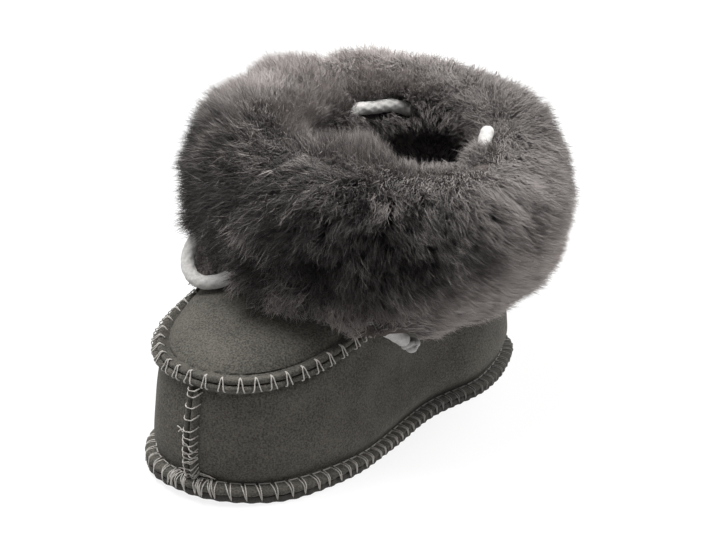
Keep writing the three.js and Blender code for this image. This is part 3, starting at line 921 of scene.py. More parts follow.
    def flange_profile(self, turn: Array) -> list[Array]:
        """The sewn edge from its underside over its rounded rim to the fold, a row of points each."""
        last, foot = self.last, self.flange_foot
        run = turn * last.sole.length
        scallop = 0.55 * (0.5 - pull(last.stitches_to(turn)))
        scallop = scallop + 0.25 * np.sin(run / 7.3) * np.sin(run / 11.7 + 1)
        flat = 1 - 0.5 * self.sagging(turn)
        rise = 0.25 * np.sin(run / 5.1 + 0.7) * np.sin(run / 13.1)
        section = [(inset, foot + (height - foot) * flat, share) for inset, height, share in self.flange]
        rows = last.edge_rows(turn, section, scallop)
        for row, (_, height, share) in zip(rows, self.flange):
            row[:, 2] += rise * share * flat * (height > 2.6)
        return rows

    def build(self) -> list[Piece]:
        """Makes and dresses both panels."""
        upper = dress(self._upper(), Finish.UPPER, "suede", "upper")
        vamp = dress(self._vamp(), Finish.UPPER, "suede", "vamp")
        return [upper, vamp]

    def _lip_rows(self, turn: Array, side: int, count: int) -> list[Array]:
        """Rows of one lip, from the panel to the groove."""
        point, across, out = self.seam(turn)
        tall = self.lip_share(turn) * (1 - 0.2 * pull(self.seam_run(turn) / self.last.stitch))
        tall = tall * (1 + self.inner_lift * self.inner_side(turn))
        uneven = 0.16 * Ripple(12 + side, 4.5).at(point)
        profile = self.lip_profile(side)
        rows = []
        for x, y in softly(profile, np.linspace(0, len(profile) - 1, count)):
            lift = y * tall + max(y, 0) / self.lip_height * uneven
            rows.append(point + across * (x * (1 + 0.3 * uneven))[:, None] + out * lift[:, None])
        return rows

    def _upper(self) -> Piece:
        """Side and heel panels: a closed outline of sewn edge, wall, lip and inside, carried round."""
        last = self.last
        fine = (self.toe_seam + np.linspace(-3.0, 3.0, 25)) / last.sole.length % 1
        rim_row = last.collar_row - self.rim_under
        corner = np.array([last.vamp_turn, 1 - last.vamp_turn])
        turn = np.unique(np.r_[np.arange(self.columns) / self.columns, fine, corner - 2e-4, corner + 2e-4])
        vamp = np.abs(from_toe(turn)) < last.vamp_turn
        flange = self.flange_profile(turn)
        flange = list(softly(np.array(flange), np.linspace(0, len(flange) - 1, 20)))
        low, lip_base = self.wall_foot, last.row_after(turn, -self.lip_foot)
        wall = [self.wall_at(turn, low + (lip_base - low) * s) for s in np.linspace(0, 1, 30)]
        lips = self._lip_rows(turn, -1, 16)
        rim = [last.skin_at(turn, lip_base + (rim_row - lip_base) * s) for s in np.linspace(0.06, 1, 16)]
        crown = [np.where(vamp[:, None], a, b) for a, b in zip(lips, rim)]
        top = np.where(vamp, last.seam_row, rim_row)
        inside = [last.inside_at(turn, top * s) for s in np.linspace(1, 0, 14)]
        foot = inside[-1].copy()
        foot[:, 2] = flange[0][:, 2]
        outline = np.array([*flange, *wall, *crown, *inside, foot])
        return self._carried("upper_suede", outline, turn_closed=True)

    def _vamp(self) -> Piece:
        """The domed top panel with its lip, from the groove up to the collar and back inside."""
        last = self.last
        turn = np.linspace(-last.vamp_turn, last.vamp_turn, self.vamp_columns + 1)
        lip = self._lip_rows(turn, 1, 16)[::-1]
        base = last.row_after(turn, self.lip_foot)
        rim_row = last.collar_row - self.rim_under
        face = [self.wall_at(turn, base + (rim_row - base) * s**1.4) for s in np.linspace(0, 1, 46)]
        inside = []
        for s in np.linspace(1, 0, 20):
            row = last.seam_row + 1e-3 + (rim_row - last.seam_row) * s * np.ones_like(turn)
            inside.append(last.inside_at(turn, row))
        return self._carried("vamp_suede", np.array([*lip, *face, *inside]), turn_closed=False)

    def _carried(self, name: str, outline: Array, turn_closed: bool) -> Piece:
        """Makes a closed outline's rows, each a line of points along the panel, into one piece."""
        rows, columns = outline.shape[:2]

        def place(column: Array, row: Array) -> Array:
            """Points of the outline, closed from its last row to its first."""
            return outline[row % rows, column % columns]

        piece = laid_grid(name, columns if turn_closed else columns - 1, rows, place)
        return close_up(piece, fill=not turn_closed)


@dataclass
class Sole:
    """The flat suede sole, and the cropped wool that lies on it as a footbed."""

    last: Last
    insole_thickness: float = 6.0
    insole_play: float = 1.3
    columns: int = 360
    # The sole's rim in section: in from its edge, height, and share of the scallops
    rim: tuple = (
        (3.0, 0.0, 0),
        (0.8, 0.0, 1),
        (0.25, 0.4, 1),
        (0.05, 1.1, 1),
        (0.15, 1.8, 1),
        (0.5, 2.2, 1),
        (3.0, 2.25, 0),
    )

    def build(self) -> list[Piece]:
        """Makes and dresses the sole and the insole."""
        sole = dress(self._slab("sole_suede", self._sole_edge), Finish.SOLE, "sole_suede", "sole")
        insole = dress(self._slab("insole_wool", self._insole_edge), Finish.FELT, "wool", "insole")
        return [sole, insole]

    def _sole_edge(self, turn: Array) -> list[Array]:
        """The sole's edge from underneath over the rounded rim to the top."""
        run = turn * self.last.sole.length
        scallop = 0.5 * (0.5 - pull(self.last.stitches_to(turn)))
        scallop = scallop + 0.25 * np.sin(run / 6.1) * np.sin(run / 12.3 + 2)
        return self.last.edge_rows(turn, self.rim, scallop)

    def _insole_edge(self, turn: Array) -> list[Array]:
        """The insole's edge from underneath to its soft top."""
        last, thick = self.last, self.insole_thickness
        base = last.sole_thickness + last.gap
        margin = last.sewn_edge + last.skin + self.insole_play
        outline = ((4, 0), (0.8, 0), (0, 0.8), (0, thick - 2), (1, thick - 0.6), (4, thick))
        section = [(margin + inset, base + height, 0) for inset, height in outline]
        return last.edge_rows(turn, section, np.zeros_like(turn))

    def _slab(self, name: str, edge: Callable[[Array], list[Array]]) -> Piece:
        """Closes an edge across the foot, underneath and on top, along a middle line."""
        turn = np.arange(self.columns + 1) / self.columns
        rim = np.array(edge(turn))
        rim = softly(rim, np.linspace(0, len(rim) - 1, 22))
        rim[..., 2] = np.maximum(rim[..., 2], rim[0, :, 2])

        def middle(row: Array) -> Array:
            """The line along the middle of the foot that a rim closes on."""
            mirrored = (row + row[::-1]) / 2
            mirrored[:, 1] = np.clip(mirrored[:, 1], row[:, 1].min() + 12, row[:, 1].max() - 12)
            mirrored[:, 2] = row[:, 2].min() + self.last.spring(mirrored[:, 1])
            return mirrored

        low, high = middle(rim[0]), middle(rim[-1])
        under = [blend(low, rim[0], np.full(len(turn), s)) for s in np.linspace(0, 1, 9)[:-1]]
        over = [blend(rim[-1], high, np.full(len(turn), s)) for s in np.linspace(0, 1, 9)[1:]]
        rows = np.array([*under, *rim, *over])

        def place(column: Array, row: Array) -> Array:
            """Points of the slab, from the middle underneath round the rim to the middle on top."""
            return rows[row, column]

        return close_up(laid_grid(name, self.columns, len(rows) - 1, place))


# Sewing
@dataclass
class Sewing:
    """Hand stitches of pale thread along the sole, the vamp and the toe."""

    last: Last
    skin: Skin
    thread: float = 0.19  # radius
    finer: float = 0.25  # share of it that the thread loses from the ball of the foot to the heel
    seed: int = 31
    # Heights of the stitches on the toe, and loose ends there: across the seam and height
    toe_stitches: tuple = (33.2, 31.4, 28.2, 24.6, 21.2, 19.2, 17.2, 14.8, 13.2, 11.5, 9.8, 8.3, 7.0)
    toe_ends: tuple = (
        ((-2.2, 19.6), (-3.2, 19.2), (-4.2, 20.0), (-5.4, 20.2)),
        ((-2.2, 19.4), (-3.4, 19.8), (-4.8, 18.8)),
        ((0.5, 8.2), (2.8, 7.4), (5.2, 7.0), (7.6, 5.8)),
        ((1.0, 7.0), (3.4, 6.4), (5.4, 6.6), (6.6, 5.6)),
        ((-0.4, 7.8), (-2.6, 6.8), (-4.8, 6.4), (-6.4, 5.6)),
    )

    def build(self) -> list[Piece]:
        """Makes and dresses the thread of each seam."""
        made = []
        for name, lines in (
            ("thread_sole", self._sole_lines()),
            ("thread_vamp", self._vamp_lines()),
            ("thread_toe", self._toe_lines()),
        ):
            made.append(dress(self._sewn(name, lines), Finish.THREAD, None))
        return made

    def _sewn(self, name: str, lines: list[Array]) -> Piece:
        """Makes one piece of many runs of thread."""
        curve = bpy.data.curves.new(name, "CURVE")
        curve.dimensions = "3D"
        curve.bevel_depth = self.thread * MM
        curve.bevel_resolution = 1
        curve.use_fill_caps = True
        for line in lines:
            spline = curve.splines.new("POLY")
            spline.points.add(len(line) - 1)
            flat = np.c_[line * MM, np.ones(len(line))]
            spline.points.foreach_set("co", flat.astype(np.float32).ravel())
            drawn = 1 - self.finer * smooth(line[:, 1], -10, 30)
            spline.points.foreach_set("radius", drawn.astype(np.float32))
        select_only(added(name, curve))
        bpy.ops.object.convert(target="MESH")
        piece = bpy.context.object
        piece.name = piece.data.name = name
        return piece

    def _sole_lines(self) -> list[Array]:
        """Narrow V stitches over the sewn edge, and the thread that runs on from one to the next."""
        last = self.last
        count = np.arange(round(last.seam_count[-1]))
        starts = np.interp(count, last.seam_count, last.seam_turn) * last.sole.length
        draw = np.random.default_rng(self.seed)
        lines = []
        for start, pitch in zip(starts, np.diff(np.r_[starts, last.sole.length])):
            at = start + draw.normal(0, 0.04) * pitch
            slant = draw.normal(0.2, 0.06) * pitch
            spread = draw.uniform(0.11, 0.19) * pitch
            lines.append(self._vee(at, slant, spread))
            ahead = np.linspace(at + spread, at + 0.87 * pitch, 5) / last.sole.length
            lines.append(self._over_edge(ahead, np.zeros(5)))
        return lines

    def _vee(self, at: float, slant: float, spread: float) -> Array:
        """One stitch over the sewn edge, down and up again, from its place, slant and half width."""
        down = np.linspace(0, 1, 9)
        legs = []
        for side in (-spread, spread):
            turn = (at + slant * down + side * (1 - down)) / self.last.sole.length
            legs.append(self._over_edge(turn, down))
        return np.vstack([legs[0], legs[1][::-1][1:]])

    def _over_edge(self, turn: Array, down: Array) -> Array:
        """Points just over the sewn edge: down is 0 at the fold and 1 low on the sole's rim."""
        beyond = 0.12 + 0.5 * (0.5 - pull(self.last.stitches_to(turn)))
        rim = self.last.edge_rows(turn, ((0, 2.0, 1), (0, 1.1, 1)), beyond)
        band = np.array([*self.skin.flange_profile(turn)[6:1:-1], *rim])
        entry = np.clip(down, 0, 1) * (len(band) - 1)
        lying, ahead, behind = (
            np.stack([softly(band[:, i], entry[i : i + 1] + step)[0] for i in range(len(turn))])
            for step in (0, 0.2, -0.2)
        )
        along = self.last.sole.at(turn + 1e-3) - self.last.sole.at(turn - 1e-3)
        proud = unit(np.cross(along, behind - ahead))
        return lying + proud * self.thread * 0.8

    def _vamp_lines(self) -> list[Array]:
        """Stitches like roofs over the vamp's raised seam."""
        last = self.last
        fine = np.linspace(-last.vamp_turn, last.vamp_turn, 400)
        run = self.skin.seam_run(fine)
        draw = np.random.default_rng(self.seed + 1)
        lines = []
        half = int(run[-1] // last.stitch)
        for n in range(-half, half + 1):
            at = n * last.stitch + draw.normal(0, 0.15)
            spread = draw.uniform(0.6, 1.1)
            for side in (-spread, spread + 0.3):
                down = np.linspace(0, 1, 12)
                turn = np.interp(at + side * down, run, fine)
                lines.append(self._over_lips(turn, down))
        return lines

    def _over_lips(self, turn: Array, down: Array) -> Array:
        """Points just over the two lips: down is 0 on the vamp and 1 on the wall."""
        point, across, out = self.skin.seam(turn)
        vamp, wall = self.skin.lip_profile(1), self.skin.lip_profile(-1)
        over = np.vstack([vamp[2:6], wall[5:1:-1]])
        x, y = softly(over, down * (len(over) - 1)).T
        tall = 1 + self.skin.inner_lift * self.skin.inner_side(turn)
        return point + across * (x * 1.04)[:, None] + out * (y * tall + self.thread * 0.7)[:, None]

    def _on_toe(self, across: Array, height: Array, proud: float = 0.15) -> Array:
        """Points just over the toe's seam, from the way across it and the height above the floor."""
        turn = (across + self.skin.toe_seam) / self.last.sole.length
        rows = np.interp(height, [r.toe_height for r in self.last.wall], np.arange(len(self.last.wall)))
        tall = np.maximum(self.skin.toe_relief(turn), self.skin.toe_ridge * 0.8 * (np.abs(across) < 1.9))
        return self.last.skin_at(turn, rows) + self.last.out_at(turn, rows) * (tall + proud)[:, None]

    def _toe_lines(self) -> list[Array]:
        """Sagging stitches over the toe's seam, closer low down, with loose thread where the seams meet."""
        draw = np.random.default_rng(self.seed + 2)
        lines = []
        share = np.linspace(-1, 1, 13)
        for height in self.toe_stitches:
            sag, rise = draw.uniform(1.0, 1.7), draw.uniform(-0.2, 0.7)
            lines.append(self._on_toe(2.4 * share, height - 0.8 + sag * share**2 + rise * share))
        for start, drop in ((18.6, 4.0), (15.4, 2.6), (10.4, -2.0)):
            lines.append(self._on_toe(2.4 * share, start - drop * (share + 1) / 2, 0.35))
        for ends in self.toe_ends:
            across, height = evenly(through(ends), 16).T
            lines.append(self._on_toe(across, height, 0.45))
        foot = self.skin.toe_seam
        for at in (-6.6, -5.2, -4.1, -2.8, 2.2, 3.4, 4.5, 6.0):
            slant, spread = draw.normal(0.5, 1.0), draw.uniform(0.4, 1.1)
            stitch = self._vee(foot + at, slant, spread)
            lines.append(stitch + draw.uniform(0, 0.3) * np.array([0.0, -1.0, 0.3]))
        return lines


# Drawstring
@dataclass(frozen=True)
class OpenCord:
    """A stretch of cord that lies open in the pile, in a valley that it presses."""

    line: Array
    valley: float  # half the valley's width
    gap: float = 2.2  # how far hairs keep off the line
    floor: float = 2.2  # how far the valley's floor lies under the line
    brim: float = 3.5  # how far its sides rise over the floor
    reach: float = 1.6  # how far from the line tips are pressed, in half widths
    most: float = 12.0  # by which a tip is pressed

    def press(self, tip: Array, out: Array) -> Array:
        """Presses hairs' tips into the valley, against their way out."""
        offset = tip - nearest_on(self.line, tip)
        beyond = (offset * out).sum(1)
        aside = np.linalg.norm(offset - out * beyond[:, None], axis=1)
        over = np.clip(beyond - (self.brim * (aside / self.valley) ** 2 - self.floor), 0, self.most)
        return tip - out * (over * (np.linalg.norm(offset, axis=1) < self.reach * self.valley))[:, None]

    def clears(self, *along: Array) -> Array:
        """Which hairs keep off the cord, from points along them."""
        keep = np.ones(len(along[0]), bool)
        for point in along:
            keep &= np.linalg.norm(point - nearest_on(self.line, point), axis=1) > self.gap
        return keep


@dataclass
class Drawstring:
    """The cord of the ankle: a free loop and a knotted end in front, and two bars inside the collar."""

    diameter: float = 4.2
    drawn_share: float = 0.97  # of the diameter, so that the relief stays within it
    knot_at: tuple[float, float, float] = (31.7, -11.0, 35.9)
    loop: tuple = (
        (-8, -20.6, 62.6), (-8.6, -25.4, 61.6), (-10, -29.5, 59), (-12.1, -32.8, 55.8),
        (-15.3, -35.3, 52.9), (-19.5, -36.9, 50.6), (-24.3, -37.4, 49.4), (-29.1, -36.1, 49.9),
        (-32.6, -33.4, 52.1), (-33.9, -29.8, 55.4), (-32.7, -26.4, 58.7), (-29.3, -23.9, 61.2),
        (-24.8, -22.4, 62.6), (-20.2, -20.9, 63.2), (-16.6, -18.4, 63.2), (-14.4, -14.4, 63),
    )
    end: tuple = (
        (8, -19, 62.5), (8.8, -23.6, 61.8), (10.8, -27.8, 59.6), (14.4, -30.6, 56.6), (19, -30.8, 53.6),
        (23.4, -28.8, 50.6), (27, -25, 47.2), (29.4, -20.6, 43.8), (30.8, -16.4, 40.4), (31.4, -12.8, 37.4),
    )
    bar_medial: tuple = (
        (-27.6, 25, 71), (-23, 27.4, 76.6), (-20, 32, 82), (-17.4, 38, 81.8),
        (-14.6, 44.4, 81.2), (-12.4, 50, 78.2), (-12, 54.6, 73.6), (-14.4, 59.4, 70.6),
    )
    bar_lateral: tuple = (
        (27, 34.6, 71), (23, 37.6, 74.4), (20.4, 41.8, 78.2), (17.6, 47.6, 79.2),
        (14.8, 52.6, 76.4), (13.6, 56.2, 72), (14.8, 59.4, 70.6),
    )

    def build(self) -> list[Piece]:
        loop = self._cord("drawstring_loop_cord", self.loop, "drawstring_loop")
        end = self._cord("drawstring_end_cord", self.end, "drawstring_end")
        knot = dress(self._knot(), Finish.CORD, "cord")
        self._declare(self.loop)
        self._declare(self.end)
        bars = [
            self._cord("drawstring_bar_medial_cord", self.bar_medial, "drawstring_bar_medial"),
            self._cord("drawstring_bar_lateral_cord", self.bar_lateral, "drawstring_bar_lateral"),
        ]
        return [loop, end, knot, *bars]

    def line(self, route: tuple) -> Array:
        """The cord's centre line, a point every half millimetre or so."""
        curve = through(route, steps=40)
        return evenly(curve, int(paces(curve).sum() / 0.5))

    def open_stretches(self) -> tuple[OpenCord, ...]:
        """The parts of the cord that show between the hairs, counted in points of its line."""
        loop, end = self.line(self.loop), self.line(self.end)
        medial, lateral = self.line(self.bar_medial), self.line(self.bar_lateral)
        return (
            OpenCord(loop[28:84], 9),
            OpenCord(np.vstack([end[80:], [self.knot_at]]), 8, 4.4),
            OpenCord(medial[35:69], 3.2),
            OpenCord(lateral[33:48], 3),
        )

    def _cord(self, name: str, route: tuple, node: str) -> Piece:
        """One stretch of braided cord."""
        piece = tube(name, self.line(route), self.diameter / 2 * self.drawn_share, 28, self._braid)
        return dress(piece, Finish.CORD, "cord", node)

    def _braid(self, angle: Array, run: Array) -> Array:
        """Relief of the strands that wind round the cord both ways."""
        wind = FULL_TURN * run / 3.8
        return 0.075 * np.maximum(np.cos(5 * angle + wind), np.cos(5 * angle - wind)) - 0.04

    def _knot(self) -> Piece:
        """The overhand knot at the free end."""
        angle = np.linspace(0, FULL_TURN, 90)
        reach = 1.25 + 0.55 * np.cos(3 * angle)
        path = np.stack([reach * np.cos(2 * angle), reach * np.sin(2 * angle), 0.8 * np.sin(3 * angle)], -1)
        return tube("drawstring_knot", path + self.knot_at, 1.15, 14)

    def _declare(self, route: tuple) -> None:
        """Works out the cord's line in metres, which nothing uses."""
        line = self.line(route) * MM


# Fur
@dataclass(frozen=True)
class FurSpot:
    """A point of the cuff's section: which side of the skin, share of the pile and share of the height."""

    outside: bool
    reach: float
    rise: float


@dataclass(frozen=True)
class Swell:
    """A place where the pile stands out more, or less if its height is negative."""

    at: tuple[float, float, float]
    reach: float
    height: float


@dataclass(frozen=True)
class Locks:
    """How hairs draw together in locks, and how much less where the pile is calm."""

    count: int
    hold: float  # how strongly a hair is drawn to its lock, from 0 to 1
    calm_hold: float  # taken off it where the pile is calm
    sway: float  # how far a lock leans its own way
    calm_sway: float  # taken off it where the pile is calm

    def gather(
        self, draw: np.random.Generator, tip: Array, ways: tuple[Array, Array], calm: Array
    ) -> tuple[Array, Array]:
        """Draws the tips of neighbouring hairs together and leans each lock its own way.

        Args:
            draw: the source of random numbers.
            tip: the hairs' tips.
            ways: the way round the cuff and the way up its section, at each hair.
            calm: how calm the pile is at each hair, from 0 to 1.

        Returns:
            The moved tips, and a tone for each hair that its lock shares.
        """
        heads = tip[draw.choice(len(tip), self.count, replace=False)]
        tree = KDTree(self.count)
        for i, head in enumerate(heads):
            tree.insert(head, i)
        tree.balance()
        nearest = np.array([tree.find(p)[1] for p in tip])
        shade = draw.normal(0, 1, self.count)
        sway = self.sway - self.calm_sway * calm
        lean = draw.normal(0, 1, (self.count, 2))[nearest] * sway[:, None]
        share = (self.hold - self.calm_hold * calm) * draw.uniform(0.4, 1.3, len(tip))
        moved = tip + (heads[nearest] - tip) * share[:, None]
        return moved + ways[0] * lean[:, :1] + ways[1] * lean[:, 1:], shade[nearest]


@dataclass(frozen=True)
class PaintedLight:
    """Painted light and shade on the pile, as changes of its tone, and by how much."""

    # Painted light: paler where light falls on the crest, the back and the outer side, and lifted in the
    # shade of the hem and low down.
    crest: float = 0.52
    back: float = 0.46
    outer: float = 0.16
    hem: float = 0.25
    low: float = 0.75
    dark: float = 0.49  # painted shade, taken off everywhere, so that the front stays dark

    def at(self, tip: Array, hem: Array) -> Array:
        """The painted light and shade at each hair as a change of tone, from its tip and how near the hem it
        grows.
        """
        crest = smooth(tip[:, 2], 78, 94) * (0.5 + 0.5 * smooth(tip[:, 1], -40, 0))
        lit_sides = self.crest * crest + self.back * smooth(tip[:, 1], -30, 25)
        low = 1 - smooth(tip[:, 2], 46, 66)
        return lit_sides + self.outer * smooth(tip[:, 0], 20, 55) + self.hem * hem + self.low * low - self.dark


@dataclass
class FurCuff:
    """The turned-down top of the boot with its long pile: a felted core and many hairs over it."""

    last: Last
    # How far the pile stands out, and how high the cuff begins and ends
    pile_front: float = 25.0
    pile_lateral: float = 23.5
    pile_medial: float = 25.0
    pile_back: float = 15.0
    inner_pile: float = 8.5
    low_front: float = 51.0
    low_back: float = 40.0
    crest: float = 90.0
    tilt: float = 7.0
    tilt_towards: tuple[float, float] = (-0.75, -0.66)
    dip: float = 7.0
    dip_towards: tuple[float, float] = (0.95, 0.31)
    core_share: float = 0.62
    inner_core_share: float = 0.3
    parted_by: tuple[OpenCord, ...] = ()
    swells: tuple[Swell, ...] = (
        Swell((-45, -22, 72), 10, 2.0),
        Swell((-26, -40, 58), 10, -4.0),
        Swell((22, -42, 50), 12, 2.0),
        Swell((40, -26, 60), 14, 1.5),
        Swell((-36, -27, 62), 5, 3.0),
        Swell((-14, -38, 54), 6, -3.0),
        Swell((37, -20, 44), 8, -5.0),
        Swell((14, 75, 82), 16, 3.0),
        Swell((50, 48, 50), 14, -2.5),
        Swell((-36, 58, 93), 9, -2.0),
        Swell((7, 54, 76), 7, -4.0),
        Swell((4, -40, 96), 8, -2.0),
        Swell((12, -44, 90), 8, -2.0),
        Swell((18, -45, 81), 7, -1.5),
        Swell((-14, -44, 84), 7, -1.0),
        Swell((-20, 26, 79), 6, 5.0),
        Swell((-14.5, 41, 76), 7, 3.5),
        Swell((22.5, 38, 75), 6, 5.5),
        Swell((5, -14, 90), 8, 7.0),
        Swell((13.5, -7.8, 86.2), 7, 7.2),
        Swell((20, 3, 82), 7, 2.0),
    )
    hairs: int = 345000
    hair_width: float = 0.21
    locks: Locks = Locks(40000, 0.4, 0.22, 1.0, 0.15)
    tufts: Locks = Locks(2500, 0.18, 0.06, 1.1, 0.35)
    tone: float = 0.38
    contrast: float = 2.7  # between hairs of different tones
    calm_contrast: float = 2.2  # taken off it where the pile is calm
    painted_light: PaintedLight = PaintedLight()
    seed: int = 7
    columns: int = 480
    rows: int = 66
    section: tuple[FurSpot, ...] = (
        FurSpot(True, 0, 0.02),
        FurSpot(True, 0.5, 0),
        FurSpot(True, 0.86, 0.12),
        FurSpot(True, 1, 0.36),
        FurSpot(True, 0.99, 0.62),
        FurSpot(True, 0.88, 0.83),
        FurSpot(True, 0.6, 0.96),
        FurSpot(True, 0.2, 1),
        FurSpot(False, 0.5, 0.96),
        FurSpot(False, 1, 0.8),
        FurSpot(False, 0.9, 0.62),
        FurSpot(False, 0, 0.5),
    )
    crest_spot: float = 7.0
    # Along the section, counted in spots: how close the hairs stand, and how far they pass the envelope
    density: tuple = (
        (0, 0.5),
        (0.6, 1.3),
        (1.5, 0.95),
        (4.5, 0.95),
        (5.5, 1.25),
        (7, 1.25),
        (8, 1.4),
        (10, 1.2),
        (11, 0.3),
    )
    proud: tuple = ((0, 0.5), (1, 1.5), (2.5, 3), (5.5, 2.5), (7, -1.5), (8.5, -1), (11, -1))
    envelope: Array = field(init=False)
    core: Array = field(init=False)
    around: Array = field(init=False)
    upward: Array = field(init=False)
    out: Array = field(init=False)
    spot: Array = field(init=False)

    def build(self) -> list[Piece]:
        """Makes and dresses the core and the hairs."""
        self._survey()
        core = laid_grid("fur_core", self.columns // 4, self.rows + 6, self._core_place())
        core = dress(close_up(core), Finish.FELT, "fur", "fur_cuff")
        return [core, *self._coat().pieces(Finish.FUR, "fur")]

    def _survey(self) -> None:
        """Works out the cuff's envelope, core and directions on a grid of turns and rows."""
        turn = np.arange(self.columns) / self.columns
        out = self.last.collar.out(turn)
        side = np.where(out[:, 0] > 0, self.pile_lateral, self.pile_medial)
        ends = np.where(out[:, 1] < 0, self.pile_front, self.pile_back)
        pile = side * out[:, 0] ** 2 + ends * out[:, 1] ** 2
        lean = out[:, :2] @ np.array(self.tilt_towards)
        sag = np.maximum(0, out[:, :2] @ np.array(self.dip_towards)) ** 4
        top = self.crest + self.tilt * lean - self.dip * sag
        low = self.low_back + (self.low_front - self.low_back) * self.last.frontness(turn) ** 3
        rows = np.linspace(0, self.last.collar_row, 121)
        skin = self.last.skin_at(turn[:, None], rows[None, :])
        collar = self.last.collar.at(turn)
        envelope, core = [], []
        for spot in self.section:
            height = low + (top - low) * spot.rise
            wall = np.stack(
                [[np.interp(h, s[:, 2], s[:, axis]) for axis in (0, 1)] for h, s in zip(height, skin)]
            )
            wall = np.c_[wall, height]
            if spot.outside:
                far = collar + out * pile[:, None]
                far[:, 2] = height
                tip = wall + (far - wall) * spot.reach
            else:
                wall = wall - out * self.last.skin
                tip = wall - out * self.inner_pile * spot.reach
            base = wall.copy()
            base[:, 2] = np.minimum(height, self.last.collar_height - 2)
            envelope.append(tip)
            core.append(base + (tip - base) * (self.core_share if spot.outside else self.inner_core_share))
        at = np.linspace(0, len(self.section) - 1, self.rows + 1)
        self.envelope = softly(np.array(envelope), at).transpose(1, 0, 2)
        self.core = softly(np.array(core), at).transpose(1, 0, 2)
        self.around = unit(np.roll(self.envelope, -1, 0) - np.roll(self.envelope, 1, 0))
        self.upward = unit(np.gradient(self.envelope, axis=1))
        self.out = unit(np.cross(self.around, self.upward))
        self.spot = at

    def _core_place(self) -> Place:
        """Gives the core's grid: the felted ring, closed along the skin."""
        rows = np.concatenate([self.core, self.core[:, -1:] * np.ones((1, 6, 1))], axis=1)
        share = np.linspace(0, 1, 8)[1:-1]
        rows[:, -6:] = self.core[:, -1:] + (self.core[:, :1] - self.core[:, -1:]) * share[None, :, None]

        def place(column: Array, row: Array) -> Array:
            """Points of the core, every fourth column of the survey."""
            return rows[4 * column % self.columns, row % (self.rows + 7)]

        return place

    def _read(self, grid: Array, column: Array, row: Array) -> Array:
        """Reads a grid between its points."""
        c, r = np.floor(column).astype(int), np.minimum(np.floor(row).astype(int), self.rows - 1)
        a, b = (column - c)[:, None], (row - r)[:, None]
        c, d = c % self.columns, (c + 1) % self.columns
        low = grid[c, r] * (1 - a) + grid[d, r] * a
        high = grid[c, r + 1] * (1 - a) + grid[d, r + 1] * a
        return low * (1 - b) + high * b

    def _scatter(self, draw: np.random.Generator) -> tuple[Array, Array]:
        """Places for the hairs, spread over the envelope by how close they stand there."""
        wide = np.linalg.norm(np.roll(self.envelope, -1, 0) - self.envelope, axis=2)[:, :-1]
        tall = np.linalg.norm(np.diff(self.envelope, axis=1), axis=2)
        density = np.interp(self.spot[:-1], *zip(*self.density))
        area = (wide * tall * density[None]).ravel()
        cell = draw.choice(area.size, self.hairs, p=area / area.sum())
        column, row = np.divmod(cell, self.rows)
        return column + draw.random(self.hairs), row + draw.random(self.hairs)

    def _coat(self) -> Hairs:
        """Grows the hairs: rooted in the core, standing out with a little lean, drawn together in locks."""
        draw = np.random.default_rng(self.seed)
        column, row = self._scatter(draw)
        tip = self._read(self.envelope, column, row)
        root = self._read(self.core, column, row)
        out = unit(self._read(self.out, column, row))
        upward = unit(self._read(self.upward, column, row))
        around = unit(self._read(self.around, column, row))
        spot = row / self.rows * (len(self.section) - 1)
        downstream = np.clip((spot - self.crest_spot) / 1.6, -1, 1)
        # The pile lies calmer on the outer side, and its locks are less marked there and towards the back
        calm = smooth(tip[:, 0], 0, 32)
        swirl = (0.8 * Ripple(3, 24).at(tip) + 0.6 * Ripple(4, 9).at(tip)) * (1 - 0.3 * calm)
        flow = upward * downstream[:, None] + around * swirl[:, None]
        clumps = Ripple(6, 6.5).at(tip)
        swell = (1.1 * Ripple(5, 17).at(tip) + 0.8 * clumps) * (1 - 0.3 * calm)
        for place in self.swells:
            away = np.linalg.norm(tip - place.at, axis=1)
            swell = swell + place.height * np.exp(-((away / place.reach) ** 2))
        tall = np.interp(spot, *zip(*self.proud)) + swell + draw.normal(0, 0.7, self.hairs)
        hem = 1 - smooth(spot, 0.4, 2.2)
        tall = np.clip(tall, np.interp(spot, [7, 8.5], [-2, -5]), 8)
        tip = tip + out * tall[:, None] - np.array([0, 0, 1.0]) * (0.8 * hem)[:, None]
        root = root - flow * draw.uniform(0.5, 4, self.hairs)[:, None]
        calm = np.maximum(0.6 * calm, smooth(tip[:, 1], -35, 10))
        tip, lock_tone = self.locks.gather(draw, tip, (around, upward), calm)
        tip, tuft_tone = self.tufts.gather(draw, tip, (around, upward), calm)
        for cord in self.parted_by:
            tip = cord.press(tip, out)
        length = np.linalg.norm(tip - root, axis=1)
        bow = 0.12 * length * draw.uniform(0.0, 1.3, self.hairs)
        middle = root + (tip - root) * 0.55 + out * bow[:, None]
        loose = np.interp(spot, [7.5, 9], [1, 0.4])[:, None] * (1 - 0.45 * smooth(tip[:, :1], 10, 35))
        middle = middle + draw.normal(0, 1.0, middle.shape) * loose
        tip = tip + draw.normal(0, 1.25, tip.shape) * loose
        uneven = 0.06 * lock_tone + 0.05 * tuft_tone + 0.07 * clumps + draw.normal(0, 0.1, self.hairs)
        uneven = uneven * (self.contrast - self.calm_contrast * calm)
        # Each hair's own tone gets the painted light and shade of the cuff.
        tone = self.tone + uneven + self.painted_light.at(tip, hem)
        keep = np.ones(self.hairs, bool)
        for cord in self.parted_by:
            keep &= cord.clears((root + middle) / 2, middle, (middle + tip) / 2, tip)
        LOG.info("%d hairs parted by the cord", int((~keep).sum()))
        facing = out + 0.3 * draw.normal(size=out.shape)
        coat = (values[keep] for values in (root, middle, tip, facing, tone))
        return Hairs("fur_pile", *coat, self.hair_width)


